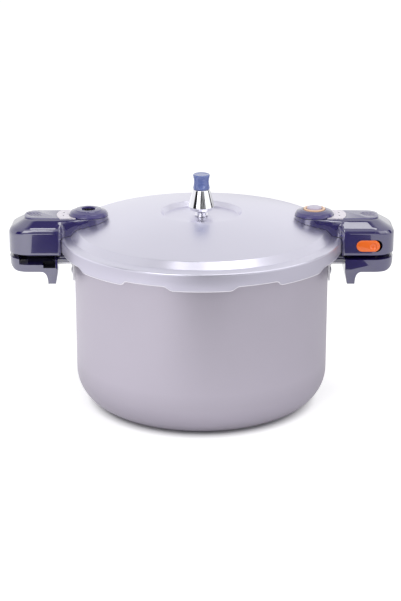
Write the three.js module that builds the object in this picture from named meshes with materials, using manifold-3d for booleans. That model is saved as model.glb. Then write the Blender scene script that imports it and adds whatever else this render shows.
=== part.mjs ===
// Pressure cooker with a bayonet lid, two side handles, a weighted pressure regulator,
// a pressure indicator, a spring-loaded safety valve and a lid lock slide.
//
// All lengths are millimetres and angles are degrees. The origin is the middle of the pot's
// base, +Z is up, the front faces -Y and the handles point along X. Side pieces are drawn at
// the right hand side, +X, and their left hand twins are turned half round the pot's axis.

import * as THREE from 'three';
import { mergeVertices } from 'three/addons/utils/BufferGeometryUtils.js';
import Module from 'manifold-3d';

const wasm = await Module();
wasm.setup();

// Clearances
const gap = 0.3;
const runningGap = 0.15;
const overrun = 4;

// Angles
const quarterTurn = 90;
const halfTurn = 180;
const fullTurn = 360;

// Pot
const potInnerRadius = 130;
const potSheet = 2.8;
const potCornerRadius = 36;
const potHeight = 169.9;
const rimFlange = 4.2;
const rimThickness = 3.8;
const lugLength = 5.4;
const lugHalfAngle = 8;
const lugAngles = [0, 43, 137, 180, 223, 317];

// Lid shell
const lidClearance = 2.4;
const lidSheet = 2.2;
const lipThickness = 2.6;
const lipClearance = 1;
const tabDepth = 4.1;
const frontTabAngle = 11.4;
const frontTabSlopeAngle = 4.1;
const sideTabStartAngle = 32.5;
const sideTabStartSlopeAngle = 2;
const sideTabEndAngle = 53;
const sideTabEndSlopeAngle = 5;
const skirtDepth = 18.1;
const ledgeRound = 1.4;
const ledgeWidth = 9.9;
const grooveRise = 1.4;
const crownWidth = 6.8;
const crownRise = 6.6;
const crownRound = 1.3;
const domeRise = 14.7;
const recessRadius = 42.2;
const recessSlope = 3.4;
const recessDepth = 4.8;
const domeRadiusShares = [0.4, 0.75];

// Valve places and the flat pads pressed into the lid for them
const bossSetback = 29.5;
const padRadius = 10;
const padRise = 2.4;
const padThickness = 6.4;

// Lid gasket
const gasketSetback = 1.5;
const gasketLip = 2.2;
const gasketWall = 5;

// Handle brackets on the pot
const bracketSheet = 2;
const bracketHalfWidth = 14;
const bracketDrop = 20.3;
const tongueGrip = 27.5;

// Rivets
const rivetRadius = 2.4;
const rivetHeadRadius = 4.2;
const rivetHeadHeight = 0.9;
const rivetSpread = 6.5;
const rivetDrop = 11;

// Both handles
const handleLength = 53;
const handleHalfWidth = 31;
const handleEndHalfFlat = 10;
const handleSplit = 4.4;

// Pot handle
const potHandleSetback = 0.6;
const potHandleThickness = 13;
const potHandleClearance = 1.5;
const legDepth = 12.8;
const legTopWidth = 10.2;
const legFillet = 7.3;
const legTaper = 2.2;
const potHandleCornerDrop = 12;
const extensionHalfWidth = 17;
const handleScrewSetback = 10;
const handleScrewOffset = 9.5;
const handleScrewCover = 2.5;

// Stop pocket in the pot handle
const pocketWall = 5.5;
const pocketEndWall = 8.9;
const pocketDepth = 5.5;
const pocketAngle = 30;
const drainWidth = 12.4;
const drainDepth = 8.8;
const drainStartAngle = 6;

// Lid handle
const blockOverlap = 2.4;
const lidHandleRise = 18.7;
const lidHandleHeight = 35.3;
const lidHandleWall = 2.8;
const bevelWidth = 12;
const bevelDrop = 8.2;
const endSlopeLength = 18;
const endSlopeDrop = 9;
const endRoundLength = 2.4;
const endRoundDrop = 13;
const shoulderWidth = 9;
const shoulderRadius = 3.5;
const neckFillet = 5;
const bossRadius = 20.5;
const bossBoreRadius = 10.4;

// Handle cover and the stop block under it
const coverThickness = 2.5;
const stopClearance = 2;
const stopEndClearance = 8.5;
const stopHalfAngle = 1.8;
const stopDepth = 9.3;
const innerScrewSetback = 10.9;
const innerScrewInset = 12;
const outerScrewSetback = 17;
const outerScrewInset = 18;
const postRadius = 4.2;

// Screws
const screwRadius = 2;
const screwHeadRadius = 3.8;
const screwHeadHeight = 2.4;
const smallScrewRadius = 1.5;
const smallScrewHeadRadius = 3.2;
const smallScrewHeadHeight = 1.4;
const smallScrewLength = 12;
const lidScrewSetback = 3.5;
const lidScrewOffset = 14.2;
const lidScrewGrip = 9;

// Lock slide in the right lid handle
const slotPlaceShare = 0.407;
const slotLength = 27.3;
const slotHeight = 12.7;
const slotBottomRise = 4.2;
const lockButtonLength = 24.2;
const lockButtonProud = 0.9;
const lockButtonDepth = 5.6;
const lockFlangeThickness = 1.9;
const lockFlangeLength = 16;
const lockFlangeBorder = 1.5;
const lockThumbRadius = 5.2;
const lockThumbDepth = 1.6;
const lockArmThickness = 2;
const lockArmLength = 15;
const lockArmHalfWidth = 2;
const bladeSetback = 15.4;
const bladeLength = 5.2;

// Trim on top of the lid handles
const inlayBorder = 2.6;
const inlayOverhang = 2;
const inlayEndHalfFlat = 4.4;
const inlayBed = 1.2;
const inlayThickness = 1.5;
const scoopSetback = 10;
const scoopLength = 8;
const scoopHalfWidth = 9.5;
const scoopDepth = 0.8;
const ribCount = 4;
const ribWidth = 1.3;
const ribPitch = 3.2;
const ribAngle = 30;
const labelRadius = 33.2;
const labelThickness = 1.8;
const dotRadius = 0.9;
const dotDepth = 0.5;
const dotReach = 25.9;
const dotOffset = 5.5;

// Round caps on the bosses
const capRadius = 20.3;
const capRim = 1.4;
const capRise = 6.7;
const capShoulderRadiusShare = 0.91;
const capShoulderShare = 0.5;
const capTerraceRadius = 13.9;
const capTerraceShare = 0.8;
const capTerraceStep = 0.5;
const capLipRadius = 8.9;
const capSpigotRadius = 10.1;
const capSpigotWall = 0.8;
const capSpigotDepth = 2.7;
const ventRadius = 7.05;
const capPlate = 2.8;

// Threaded bushes through the lid
const bushRadius = 5;
const bushFlangeRadius = 9;
const bushFlange = 2;
const bushCollarRadius = 6.5;
const bushCollarRise = 8.2;
const bushDrop = 4.2;
const valveGasketRadius = 8;
const valveGasketThickness = 1.3;
const nutRadius = 8;
const nutHeight = 3.4;

// Pressure indicator
const indicatorTravel = 4;
const floatRadius = 3;
const floatPinRadius = 1.7;
const floatPinLength = 3;
const floatFlangeRadius = 5.5;
const floatFlange = 1.8;
const sealRadius = 6.5;
const sealThickness = 2.5;
const buttonRadius = 7.8;
const buttonHeight = 5.4;
const buttonRound = 0.9;
const indicatorRingRadius = 11.3;
const indicatorRingWall = 2.9;
const indicatorRingHeight = 2.7;
const indicatorRingRound = 0.7;

// Safety valve
const safetyInletRadius = 2.2;
const safetyChamberRadius = 4.8;
const safetySeatRise = 9;
const safetyPuckRadius = 4.2;
const safetyPuckHeight = 2;
const safetyStemRadius = 1.3;
const safetyStemLength = 9.4;
const springRadius = 3;
const springWireRadius = 0.45;
const springStepsPerTurn = 8;
const springTurns = 3;
const retainerThickness = 2;
const grilleWall = 1.4;
const grilleHeight = 1.5;
const grilleTeeth = 6;
const grilleToothLength = 1.4;
const grilleToothWidth = 1.3;

// Vent pipe in the middle of the lid
const pipeRadius = 4.6;
const pipeBoreRadius = 1.2;
const pipeFootRadius = 7;
const pipeFoot = 1.3;
const pipeCollarRadius = 5.2;
const pipeCollarRise = 4.8;
const pipeNoseRadius = 2.9;
const pipeTipRadius = 2;
const pipeRise = 17.8;
const pipeWasherRadius = 8.5;
const pipeWasher = 1;
const filterWall = 1.4;
const filterDepth = 12.5;
const filterSpace = 2.5;
const filterHoleRadius = 0.8;
const filterHoles = 5;

// Regulator weight with its knob
const weightRise = 6.8;
const weightBottomRadius = 11.6;
const weightRadius = 13.7;
const weightBevel = 3.5;
const weightTopRadius = 8.7;
const weightHeight = 21.8;
const weightMouthRadius = 5.2;
const weightMouth = 1.8;
const clipGrooveRadius = 6.2;
const clipHeight = 2;
const weightBoreRadius = 4.6;
const needleRadius = 1.2;
const needleLength = 7.6;
const needlePoint = 1.4;
const studRadius = 3;
const studHeight = 8.2;
const knobHeight = 15.6;
const knobRadius = 8.85;
const knobRadiusShares = [0.93, 0.99, 0.97, 1, 0.97, 0.9];
const knobHeightShares = [0, 0.06, 0.5, 0.9, 0.97, 1];
const knobScoopRadius = 14;
const knobScoopDepth = 1.9;
const knobScoops = 4;

// Facets round a full turn
const wideSides = 48;
const capSides = 20;
const valveSides = 10;
const screwSides = 8;

// Derived radii and reaches
const potRadius = potInnerRadius + potSheet;
const rimRadius = potRadius + rimFlange;
const lugRadius = rimRadius + lugLength;
const lidRadius = lugRadius + lidClearance + lidSheet;
const lipInnerRadius = rimRadius + lipClearance;
const grooveRadius = lidRadius - ledgeWidth;
const crownRadius = grooveRadius - crownWidth;
const recessFloorRadius = recessRadius - recessSlope;
const gasketInnerRadius = potInnerRadius + gasketSetback;
const bossCentre = lidRadius - bossSetback;
const lidScrewReach = bossCentre + lidScrewSetback;
const handleReach = lidRadius + handleLength;
const potHandleReach = handleReach - potHandleSetback;
const potHandleStart = lidRadius + potHandleClearance;
const tongueReach = potHandleStart + tongueGrip;
const handleScrewReach = tongueReach - handleScrewSetback;
const pocketInnerRadius = potHandleStart + pocketWall;
const pocketOuterRadius = potHandleReach - pocketEndWall;
const drainOuterRadius = pocketInnerRadius + drainWidth;
const stopInnerRadius = pocketInnerRadius + stopClearance;
const stopOuterRadius = pocketOuterRadius - stopEndClearance;

// Derived places in the lid handle
const blockStart = lidRadius - blockOverlap;
const cavityStart = lidRadius + gap + lidHandleWall;
const handleCornerRadius = handleHalfWidth - handleEndHalfFlat;
const neckHalfWidth = handleHalfWidth - shoulderWidth;
const topHalfWidth = handleHalfWidth - bevelWidth;
const slotStart = cavityStart + slotPlaceShare * (handleReach - cavityStart - slotLength);
const bladeStart = handleReach - bladeSetback;
const coverScrewPlaces = [
  [cavityStart + innerScrewSetback, handleHalfWidth - innerScrewInset],
  [handleReach - outerScrewSetback, handleHalfWidth - outerScrewInset],
];
const inlayHalfWidth = topHalfWidth - inlayBorder;
const inlayEndRadius = inlayHalfWidth - inlayEndHalfFlat;
const inlayEnd = handleReach - endSlopeLength + inlayOverhang;
const scoopCentre = inlayEnd - scoopSetback;

// Derived heights
const rimUnderside = potHeight - rimThickness;
const tabBottom = rimUnderside - gap - lipThickness;
const skirtEdge = tabBottom + tabDepth;
const ledgeHeight = tabBottom + skirtDepth;
const grooveHeight = ledgeHeight + grooveRise;
const crownHeight = grooveHeight + crownRise;
const recessRimHeight = crownHeight + domeRise;
const floorHeight = recessRimHeight - recessDepth;
const floorUnderside = floorHeight - lidSheet;
const lidHandleTop = ledgeHeight + lidHandleRise;
const lidHandleBottom = lidHandleTop - lidHandleHeight;
const potHandleTop = lidHandleBottom - handleSplit;
const potHandleBottom = potHandleTop - potHandleThickness;
const extensionBottom = potHandleTop - pocketDepth - bracketSheet + gap;
const tongueTop = extensionBottom - gap;
const bracketBottom = tongueTop - bracketDrop;
const lockTravel = slotLength - lockButtonLength - 2 * gap;

// Height of the lid's dome, a sphere through the crown and the recess rim
const domeSphereDrop = (crownRadius ** 2 - recessRadius ** 2 - domeRise ** 2) / (2 * domeRise);
const domeSphereRadius = Math.hypot(recessRadius, domeSphereDrop + domeRise);
const domeSphereCentre = crownHeight - domeSphereDrop;
const domeAt = (radius) => domeSphereCentre + Math.sqrt(domeSphereRadius ** 2 - radius ** 2);

const padTop = domeAt(bossCentre) + padRise;
const padBottom = padTop - padThickness;

const radians = THREE.MathUtils.degToRad;

// Solids: every helper takes and gives plain closed geometry

function turnedOutward(geometry) {
  const place = geometry.getAttribute('position');
  const index = Array.from(geometry.index.array);
  const corners = [new THREE.Vector3(), new THREE.Vector3(), new THREE.Vector3()];
  const kept = [];
  let volume = 0;
  for (let i = 0; i < index.length; i += 3) {
    const [a, b, c] = index.slice(i, i + 3);
    if (a === b || b === c || c === a) continue;
    [a, b, c].forEach((vertex, k) => corners[k].fromBufferAttribute(place, vertex));
    volume += corners[0].dot(corners[1].cross(corners[2]));
    kept.push([a, b, c]);
  }
  const facing = volume < 0 ? kept.map(([a, b, c]) => [a, c, b]) : kept;
  geometry.setIndex(facing.flat());
  return geometry;
}

function closed(geometry) {
  const bare = new THREE.BufferGeometry();
  bare.setAttribute('position', geometry.getAttribute('position').clone());
  if (geometry.index) bare.setIndex(geometry.index.clone());
  return turnedOutward(mergeVertices(bare));
}

function toSolid(geometry) {
  const shape = closed(geometry);
  return new wasm.Manifold(new wasm.Mesh({
    numProp: 3,
    vertProperties: Float32Array.from(shape.getAttribute('position').array),
    triVerts: Uint32Array.from(shape.index.array),
  }));
}

function toGeometry(solid) {
  const mesh = solid.getMesh();
  const geometry = new THREE.BufferGeometry();
  geometry.setAttribute('position', new THREE.BufferAttribute(Float32Array.from(mesh.vertProperties), 3));
  geometry.setIndex(Array.from(mesh.triVerts));
  return geometry;
}

function join(first, ...others) {
  return toGeometry(others.reduce((sum, other) => sum.add(toSolid(other)), toSolid(first)));
}

function cut(first, ...others) {
  return toGeometry(others.reduce((rest, other) => rest.subtract(toSolid(other)), toSolid(first)));
}

function common(first, ...others) {
  return toGeometry(others.reduce((sum, other) => sum.intersect(toSolid(other)), toSolid(first)));
}

// A profile of [radius, height] points turned round the Z axis
function turned(profile, sides) {
  const points = profile.map(([radius, height]) => new THREE.Vector2(radius, height));
  return closed(new THREE.LatheGeometry(points, sides).rotateX(Math.PI / 2));
}

// The same, for a profile that closes on itself away from the axis
function ring(profile, sides) {
  return turned([...profile, profile[0]], sides);
}

function rod(radius, low, high, sides) {
  return turned([[0, low], [radius, low], [radius, high], [0, high]], sides);
}

function tube(inner, outer, low, high, sides) {
  return ring([[inner, low], [outer, low], [outer, high], [inner, high]], sides);
}

function prism(shape, low, high, curveSegments = 6) {
  const options = { depth: high - low, bevelEnabled: false, curveSegments };
  return closed(new THREE.ExtrudeGeometry(shape, options).translate(0, 0, low));
}

// An outline in X and Z, drawn out along Y
function sideSlab(shape, near, far, curveSegments = 6) {
  return closed(prism(shape, -far, -near, curveSegments).rotateX(Math.PI / 2));
}

function polygon(points) {
  return new THREE.Shape(points.map(([x, y]) => new THREE.Vector2(x, y)));
}

function block(left, right, front, back, low, high) {
  const geometry = new THREE.BoxGeometry(right - left, back - front, high - low);
  return closed(geometry.translate((left + right) / 2, (front + back) / 2, (low + high) / 2));
}

// A piece of a flat ring between two angles, which count from +X towards +Y
function sector(inner, outer, from, to, low, high, curveSegments = 5) {
  const shape = new THREE.Shape();
  shape.absarc(0, 0, outer, radians(from), radians(to), false);
  shape.absarc(0, 0, inner, radians(to), radians(from), true);
  return prism(shape, low, high, curveSegments);
}

// The same with sloping ends: the angles at the top differ from those at the bottom
function slopedSector(inner, outer, from, to, topFrom, topTo, low, high) {
  const geometry = sector(inner, outer, from, to, low, high, 6);
  const place = geometry.getAttribute('position');
  const middle = (low + high) / 2;
  const centre = radians((from + to) / 2);
  for (let i = 0; i < place.count; i += 1) {
    if (place.getZ(i) < middle) continue;
    const radius = Math.hypot(place.getX(i), place.getY(i));
    const turn = Math.atan2(place.getY(i), place.getX(i)) - centre;
    const share = Math.atan2(Math.sin(turn), Math.cos(turn)) / radians(to - from) + 1 / 2;
    const angle = radians(topFrom + share * (topTo - topFrom));
    place.setXY(i, radius * Math.cos(angle), radius * Math.sin(angle));
  }
  return closed(geometry);
}

function moved(geometry, x, y = 0, z = 0) {
  return geometry.clone().translate(x, y, z);
}

// Turns a piece drawn along Z to lie along X
function laid(geometry) {
  return geometry.clone().rotateY(Math.PI / 2);
}

function spun(geometry, angle) {
  return geometry.clone().rotateZ(radians(angle));
}

// Moves an outline sideways, to the right of the way that it runs
function offsetOutline(points, distance) {
  const normals = points.slice(1).map(([x, z], i) => {
    const run = new THREE.Vector2(x - points[i][0], z - points[i][1]).normalize();
    return new THREE.Vector2(run.y, -run.x);
  });
  return points.map(([x, z], i) => {
    const before = normals[Math.max(i - 1, 0)];
    const after = normals[Math.min(i, normals.length - 1)];
    const reach = distance / (1 + before.dot(after));
    return [x + (before.x + after.x) * reach, z + (before.y + after.y) * reach];
  });
}

function arcPoints(centreX, centreZ, radius, from, to, steps) {
  return Array.from({ length: steps + 1 }, (_, i) => {
    const angle = radians(from + (to - from) * i / steps);
    return [centreX + radius * Math.cos(angle), centreZ + radius * Math.sin(angle)];
  });
}

function hexagon(radius, low, high, bore) {
  return cut(rod(radius, low, high, 6), rod(bore, low - overrun, high + overrun, valveSides));
}

// Finishes

const finishes = {
  pot: () => new THREE.MeshStandardMaterial({ color: 0xbeb8c4, roughness: 0.42, metalness: 0.75 }),
  lid: () => new THREE.MeshStandardMaterial({ color: 0xcfcedc, roughness: 0.36, metalness: 0.8 }),
  navy: () => new THREE.MeshStandardMaterial({ color: 0x3c3a68, roughness: 0.3, metalness: 0 }),
  darkNavy: () => new THREE.MeshStandardMaterial({ color: 0x1b1a30, roughness: 0.45, metalness: 0 }),
  label: () => new THREE.MeshStandardMaterial({ color: 0xd7d1df, roughness: 0.35, metalness: 0.5 }),
  steel: () => new THREE.MeshStandardMaterial({ color: 0xc4c4c8, roughness: 0.35, metalness: 0.9 }),
  chrome: () => new THREE.MeshStandardMaterial({ color: 0xdcdce2, roughness: 0.1, metalness: 1 }),
  brass: () => new THREE.MeshStandardMaterial({ color: 0xc8a560, roughness: 0.3, metalness: 0.9 }),
  rubber: () => new THREE.MeshStandardMaterial({ color: 0x8f8f96, roughness: 0.75, metalness: 0 }),
  knob: () => new THREE.MeshStandardMaterial({ color: 0x5c6190, roughness: 0.3, metalness: 0 }),
  orange: () => new THREE.MeshStandardMaterial({ color: 0xff6914, roughness: 0.35, metalness: 0 }),
  peach: () => new THREE.MeshStandardMaterial({ color: 0xf4b48c, roughness: 0.35, metalness: 0 }),
  lilac: () => new THREE.MeshStandardMaterial({ color: 0xcfc6dc, roughness: 0.35, metalness: 0 }),
};

function piece(name, geometry, finish) {
  const mesh = new THREE.Mesh(closed(geometry), finishes[finish]());
  mesh.name = name;
  return mesh;
}

// Pot: a deep drawn shell with a flanged rim and six bayonet lugs

function rivetHole(side) {
  const hole = laid(rod(rivetRadius + gap, 0, tongueReach, screwSides));
  return moved(hole, 0, side * rivetSpread, tongueTop - rivetDrop);
}

function potBody() {
  const cornerCentre = potRadius - potCornerRadius;
  const cornerSteps = 4;
  const outer = arcPoints(cornerCentre, potCornerRadius, potCornerRadius, -quarterTurn, 0, cornerSteps);
  const inner = arcPoints(cornerCentre, potCornerRadius, potCornerRadius - potSheet, 0, -quarterTurn,
    cornerSteps);
  const shell = turned([
    [0, 0],
    ...outer,
    [potRadius, rimUnderside],
    [rimRadius, rimUnderside],
    [rimRadius, potHeight],
    [potInnerRadius, potHeight],
    ...inner,
    [0, potSheet],
  ], wideSides);
  const lugs = lugAngles.map((angle) => {
    const from = angle - quarterTurn - lugHalfAngle;
    return sector(potRadius, lugRadius, from, from + 2 * lugHalfAngle, rimUnderside, potHeight);
  });
  const rightHoles = [rivetHole(1), rivetHole(-1)];
  const leftHoles = rightHoles.map((hole) => spun(hole, halfTurn));
  return cut(join(shell, ...lugs), ...rightHoles, ...leftHoles);
}

// Steel angle riveted to the pot, whose tongue carries the pot handle

function handleScrewAxis(radius, low, high) {
  return moved(rod(radius, low, high, screwSides), handleScrewReach, -handleScrewOffset);
}

function potBracket() {
  const inner = potRadius + gap;
  const outer = inner + bracketSheet;
  const halfAngle = THREE.MathUtils.radToDeg(Math.asin(bracketHalfWidth / outer));
  const flange = sector(inner, outer, -halfAngle, halfAngle, bracketBottom, tongueTop, 4);
  const tongue = block(inner, tongueReach, -bracketHalfWidth, bracketHalfWidth,
    tongueTop - bracketSheet, tongueTop);
  const trimmed = cut(tongue, rod(inner, 0, potHeight, wideSides));
  const screwHole = handleScrewAxis(screwRadius + gap, 0, potHeight);
  return cut(join(flange, trimmed), rivetHole(1), rivetHole(-1), screwHole);
}

function potRivet(side) {
  const edge = rivetSpread + rivetHeadRadius;
  const insideSeat = Math.sqrt(potInnerRadius ** 2 - edge ** 2) - gap;
  const outsideSeat = potRadius + bracketSheet + 2 * gap;
  const rim = rivetHeadRadius / 2;
  const profile = [
    [0, insideSeat - rivetHeadHeight],
    [rim, insideSeat - rivetHeadHeight],
    [rivetHeadRadius, insideSeat - rivetHeadHeight / 3],
    [rivetHeadRadius, insideSeat],
    [rivetRadius, insideSeat],
    [rivetRadius, outsideSeat],
    [rivetHeadRadius, outsideSeat],
    [rivetHeadRadius, outsideSeat + rivetHeadHeight / 3],
    [rim, outsideSeat + rivetHeadHeight],
    [0, outsideSeat + rivetHeadHeight],
  ];
  const rivet = laid(turned(profile, screwSides));
  return moved(rivet, 0, side * rivetSpread, tongueTop - rivetDrop);
}

// Pot handle: a flat grip with a finger leg, an extension over the bracket and a stop pocket

function handlePlan(start, reach, halfWidth, cornerRadius) {
  const shape = new THREE.Shape();
  shape.moveTo(start, -halfWidth);
  shape.lineTo(reach - cornerRadius, -halfWidth);
  shape.absarc(reach - cornerRadius, cornerRadius - halfWidth, cornerRadius, -Math.PI / 2, 0, false);
  shape.absarc(reach - cornerRadius, halfWidth - cornerRadius, cornerRadius, 0, Math.PI / 2, false);
  shape.lineTo(start, halfWidth);
  return shape;
}

function potHandleSide() {
  const legBottom = potHandleBottom - legDepth;
  const legOuter = potHandleStart + legTopWidth;
  const shape = new THREE.Shape();
  shape.moveTo(potHandleStart, potHandleTop);
  shape.lineTo(potHandleStart, potHandleBottom);
  shape.lineTo(potHandleStart + legTaper, legBottom);
  shape.lineTo(legOuter, legBottom);
  shape.quadraticCurveTo(legOuter, potHandleBottom, legOuter + legFillet, potHandleBottom);
  shape.lineTo(potHandleReach - potHandleCornerDrop, potHandleBottom);
  shape.quadraticCurveTo(potHandleReach, potHandleBottom, potHandleReach, potHandleTop - gap);
  shape.lineTo(potHandleReach, potHandleTop);
  return shape;
}

function stopPocket() {
  const stopAngle = -stopHalfAngle - THREE.MathUtils.radToDeg(gap / stopInnerRadius);
  const floor = potHandleTop - pocketDepth;
  const above = potHandleTop + overrun;
  const wide = sector(pocketInnerRadius, pocketOuterRadius, stopAngle, pocketAngle, floor, above, 8);
  const drain = sector(pocketInnerRadius, drainOuterRadius, drainStartAngle, pocketAngle,
    potHandleTop - drainDepth, above, 8);
  const boltRecess = block(pocketInnerRadius, bladeStart + bladeLength + lockTravel + 2 * gap,
    -lockArmHalfWidth - gap, lockArmHalfWidth + gap, floor, above);
  return join(wide, drain, boltRecess);
}

function potHandle() {
  const plan = handlePlan(0, potHandleReach, handleHalfWidth, handleCornerRadius);
  const grip = common(
    sideSlab(potHandleSide(), -handleHalfWidth, handleHalfWidth),
    prism(plan, 0, potHeight),
  );
  const extension = block(potInnerRadius, potHandleStart + overrun, -extensionHalfWidth, extensionHalfWidth,
    extensionBottom, potHandleTop);
  const socket = block(potInnerRadius, tongueReach + gap, -bracketHalfWidth - gap, bracketHalfWidth + gap,
    tongueTop - bracketSheet - gap, extensionBottom);
  const headSeat = potHandleBottom + screwHeadHeight + gap;
  return cut(
    join(grip, extension),
    rod(potRadius + gap, 0, lidHandleTop, wideSides),
    socket,
    stopPocket(),
    handleScrewAxis(screwRadius + gap, potHandleBottom - overrun, potHandleTop - handleScrewCover),
    handleScrewAxis(screwHeadRadius + gap, potHandleBottom - legDepth, headSeat),
  );
}

// A screw with its head at the bottom and its tip up
function screw(radius, headRadius, headHeight, low, length) {
  const tip = radius / 2;
  return turned([
    [0, low],
    [headRadius, low],
    [headRadius, low + headHeight],
    [radius, low + headHeight],
    [radius, low + headHeight + length - tip],
    [tip, low + headHeight + length],
    [0, low + headHeight + length],
  ], screwSides);
}

function potHandleScrew() {
  const low = potHandleBottom;
  const tip = potHandleTop - handleScrewCover - gap;
  const body = screw(screwRadius, screwHeadRadius, screwHeadHeight, low, tip - low - screwHeadHeight);
  return moved(body, handleScrewReach, -handleScrewOffset);
}

// Lid shell: a domed sheet with a central recess, a groove and ledge, and a tabbed skirt

function lidOutline(start) {
  const domeSpan = crownRadius - recessRadius;
  const dome = domeRadiusShares.map((share) => {
    const radius = recessRadius + domeSpan * share;
    return [radius, domeAt(radius)];
  });
  return [
    [start, floorHeight],
    [recessFloorRadius, floorHeight],
    [recessRadius, recessRimHeight],
    ...dome,
    [crownRadius, crownHeight],
    [crownRadius + crownRound, crownHeight - crownRound],
    [grooveRadius, grooveHeight],
    [lidRadius - ledgeRound, ledgeHeight],
    [lidRadius, ledgeHeight - ledgeRound],
    [lidRadius, tabBottom],
  ];
}

// The stretches of skirt between the tabs, as angles counted from the front towards +X
function skirtGaps() {
  const near = [frontTabAngle, sideTabStartAngle,
    frontTabAngle + frontTabSlopeAngle, sideTabStartAngle - sideTabStartSlopeAngle];
  const wide = [sideTabEndAngle, halfTurn - sideTabEndAngle,
    sideTabEndAngle + sideTabEndSlopeAngle, halfTurn - sideTabEndAngle - sideTabEndSlopeAngle];
  const mirrored = [near, wide].map(([from, to, topFrom, topTo]) => [-to, -from, -topTo, -topFrom]);
  const back = [near, mirrored[0]].map(([from, to, topFrom, topTo]) => [
    halfTurn - to, halfTurn - from, halfTurn - topTo, halfTurn - topFrom,
  ]);
  return [near, wide, ...mirrored, ...back];
}

function lidShell() {
  const outer = lidOutline(pipeRadius + gap);
  const inner = offsetOutline(outer, lidSheet);
  const shell = ring([...outer, ...inner.reverse()], wideSides);
  const wall = lidRadius - lidSheet / 2;
  const lips = lugAngles.map((angle) => {
    const middle = angle - quarterTurn;
    return sector(lipInnerRadius, wall, middle - lugHalfAngle, middle + lugHalfAngle,
      tabBottom, tabBottom + lipThickness);
  });
  const gaps = skirtGaps().map((angles) => {
    const places = angles.map((angle) => angle - quarterTurn);
    return slopedSector(lidRadius - overrun, lidRadius + overrun, ...places, tabBottom - overrun, skirtEdge);
  });
  const pads = [bossCentre, -bossCentre].map((x) => moved(rod(padRadius, padBottom, padTop, valveSides), x));
  const bushHoles = [bossCentre, -bossCentre].map((x) => {
    return moved(rod(bushRadius + gap, padBottom - overrun, padTop + overrun, valveSides), x);
  });
  const screwHoles = [0, halfTurn].flatMap((turn) => [-lidScrewOffset, lidScrewOffset].map((offset) => {
    const hole = rod(screwRadius + gap, padBottom - overrun, padTop + overrun, screwSides);
    return spun(moved(hole, lidScrewReach, offset), turn);
  }));
  return cut(join(cut(shell, ...gaps), ...lips, ...pads), ...bushHoles, ...screwHoles);
}

// Rubber gasket: a channel section that opens inwards, between the pot's rim and the ledge
function lidGasket() {
  const outer = lidRadius - lidSheet - gap;
  const low = potHeight + gap;
  const ledge = ledgeHeight - lidSheet - gap;
  const shoulder = ledgeRound;
  const wall = outer - gasketWall;
  return ring([
    [gasketInnerRadius, low],
    [outer, low],
    [outer, ledge - shoulder],
    [outer - shoulder, ledge],
    [gasketInnerRadius + gasketLip, ledge],
    [gasketInnerRadius + gasketLip, ledge - gasketLip],
    [wall, ledge - gasketLip],
    [wall, low + gasketLip],
    [gasketInnerRadius, low + gasketLip],
  ], wideSides);
}

// Lid handle: a hollow block with a neck and a round boss that sits on the lid

function lidHandlePlan() {
  const shape = new THREE.Shape();
  const corner = handleReach - handleCornerRadius;
  const neckEnd = blockStart - neckFillet;
  shape.moveTo(bossCentre, -bossRadius);
  shape.lineTo(neckEnd, -neckHalfWidth);
  shape.quadraticCurveTo(blockStart, -neckHalfWidth, blockStart, -neckHalfWidth - neckFillet);
  shape.lineTo(blockStart, shoulderRadius - handleHalfWidth);
  shape.quadraticCurveTo(blockStart, -handleHalfWidth, blockStart + shoulderRadius, -handleHalfWidth);
  shape.lineTo(corner, -handleHalfWidth);
  shape.absarc(corner, handleCornerRadius - handleHalfWidth, handleCornerRadius, -Math.PI / 2, 0, false);
  shape.absarc(corner, handleHalfWidth - handleCornerRadius, handleCornerRadius, 0, Math.PI / 2, false);
  shape.lineTo(blockStart + shoulderRadius, handleHalfWidth);
  shape.quadraticCurveTo(blockStart, handleHalfWidth, blockStart, handleHalfWidth - shoulderRadius);
  shape.lineTo(blockStart, neckHalfWidth + neckFillet);
  shape.quadraticCurveTo(blockStart, neckHalfWidth, neckEnd, neckHalfWidth);
  shape.lineTo(bossCentre, bossRadius);
  shape.absarc(bossCentre, 0, bossRadius, Math.PI / 2, 3 * Math.PI / 2, false);
  return shape;
}

// The handle's cross section in Y and Z, drawn along X
function lidHandleSection(inset) {
  const half = handleHalfWidth - inset;
  const top = lidHandleTop - inset;
  const bevel = lidHandleTop - bevelDrop - inset / 2;
  const flat = topHalfWidth - inset / 2;
  const low = lidHandleBottom - inset;
  const outline = [[-half, low], [half, low], [half, bevel], [flat, top], [-flat, top], [-half, bevel]];
  return closed(prism(polygon(outline), 0, handleReach).rotateX(Math.PI / 2).rotateZ(Math.PI / 2));
}

// The handle's side view in X and Z, drawn along Y
function lidHandleSide(start, inset) {
  const reach = handleReach - inset;
  const top = lidHandleTop - inset;
  const low = lidHandleBottom - inset;
  const outline = [
    [start, low],
    [reach, low],
    [reach, lidHandleTop - endRoundDrop],
    [reach - endRoundLength, lidHandleTop - endSlopeDrop - inset / 2],
    [handleReach - endSlopeLength - inset / 2, top],
    [start, top],
  ];
  return sideSlab(polygon(outline), -handleHalfWidth, handleHalfWidth);
}

function lidEnvelope() {
  const raised = offsetOutline(lidOutline(gap), -gap);
  const edge = raised[raised.length - 1][0];
  const low = lidHandleBottom - overrun;
  return turned([[0, low], [edge, low], ...raised.reverse(), [0, floorHeight + gap]], wideSides);
}

function stadium(left, length, low, height) {
  const radius = height / 2;
  const middle = low + radius;
  const shape = new THREE.Shape();
  shape.absarc(left + length - radius, middle, radius, -Math.PI / 2, Math.PI / 2, false);
  shape.absarc(left + radius, middle, radius, Math.PI / 2, 3 * Math.PI / 2, false);
  return shape;
}

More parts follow.
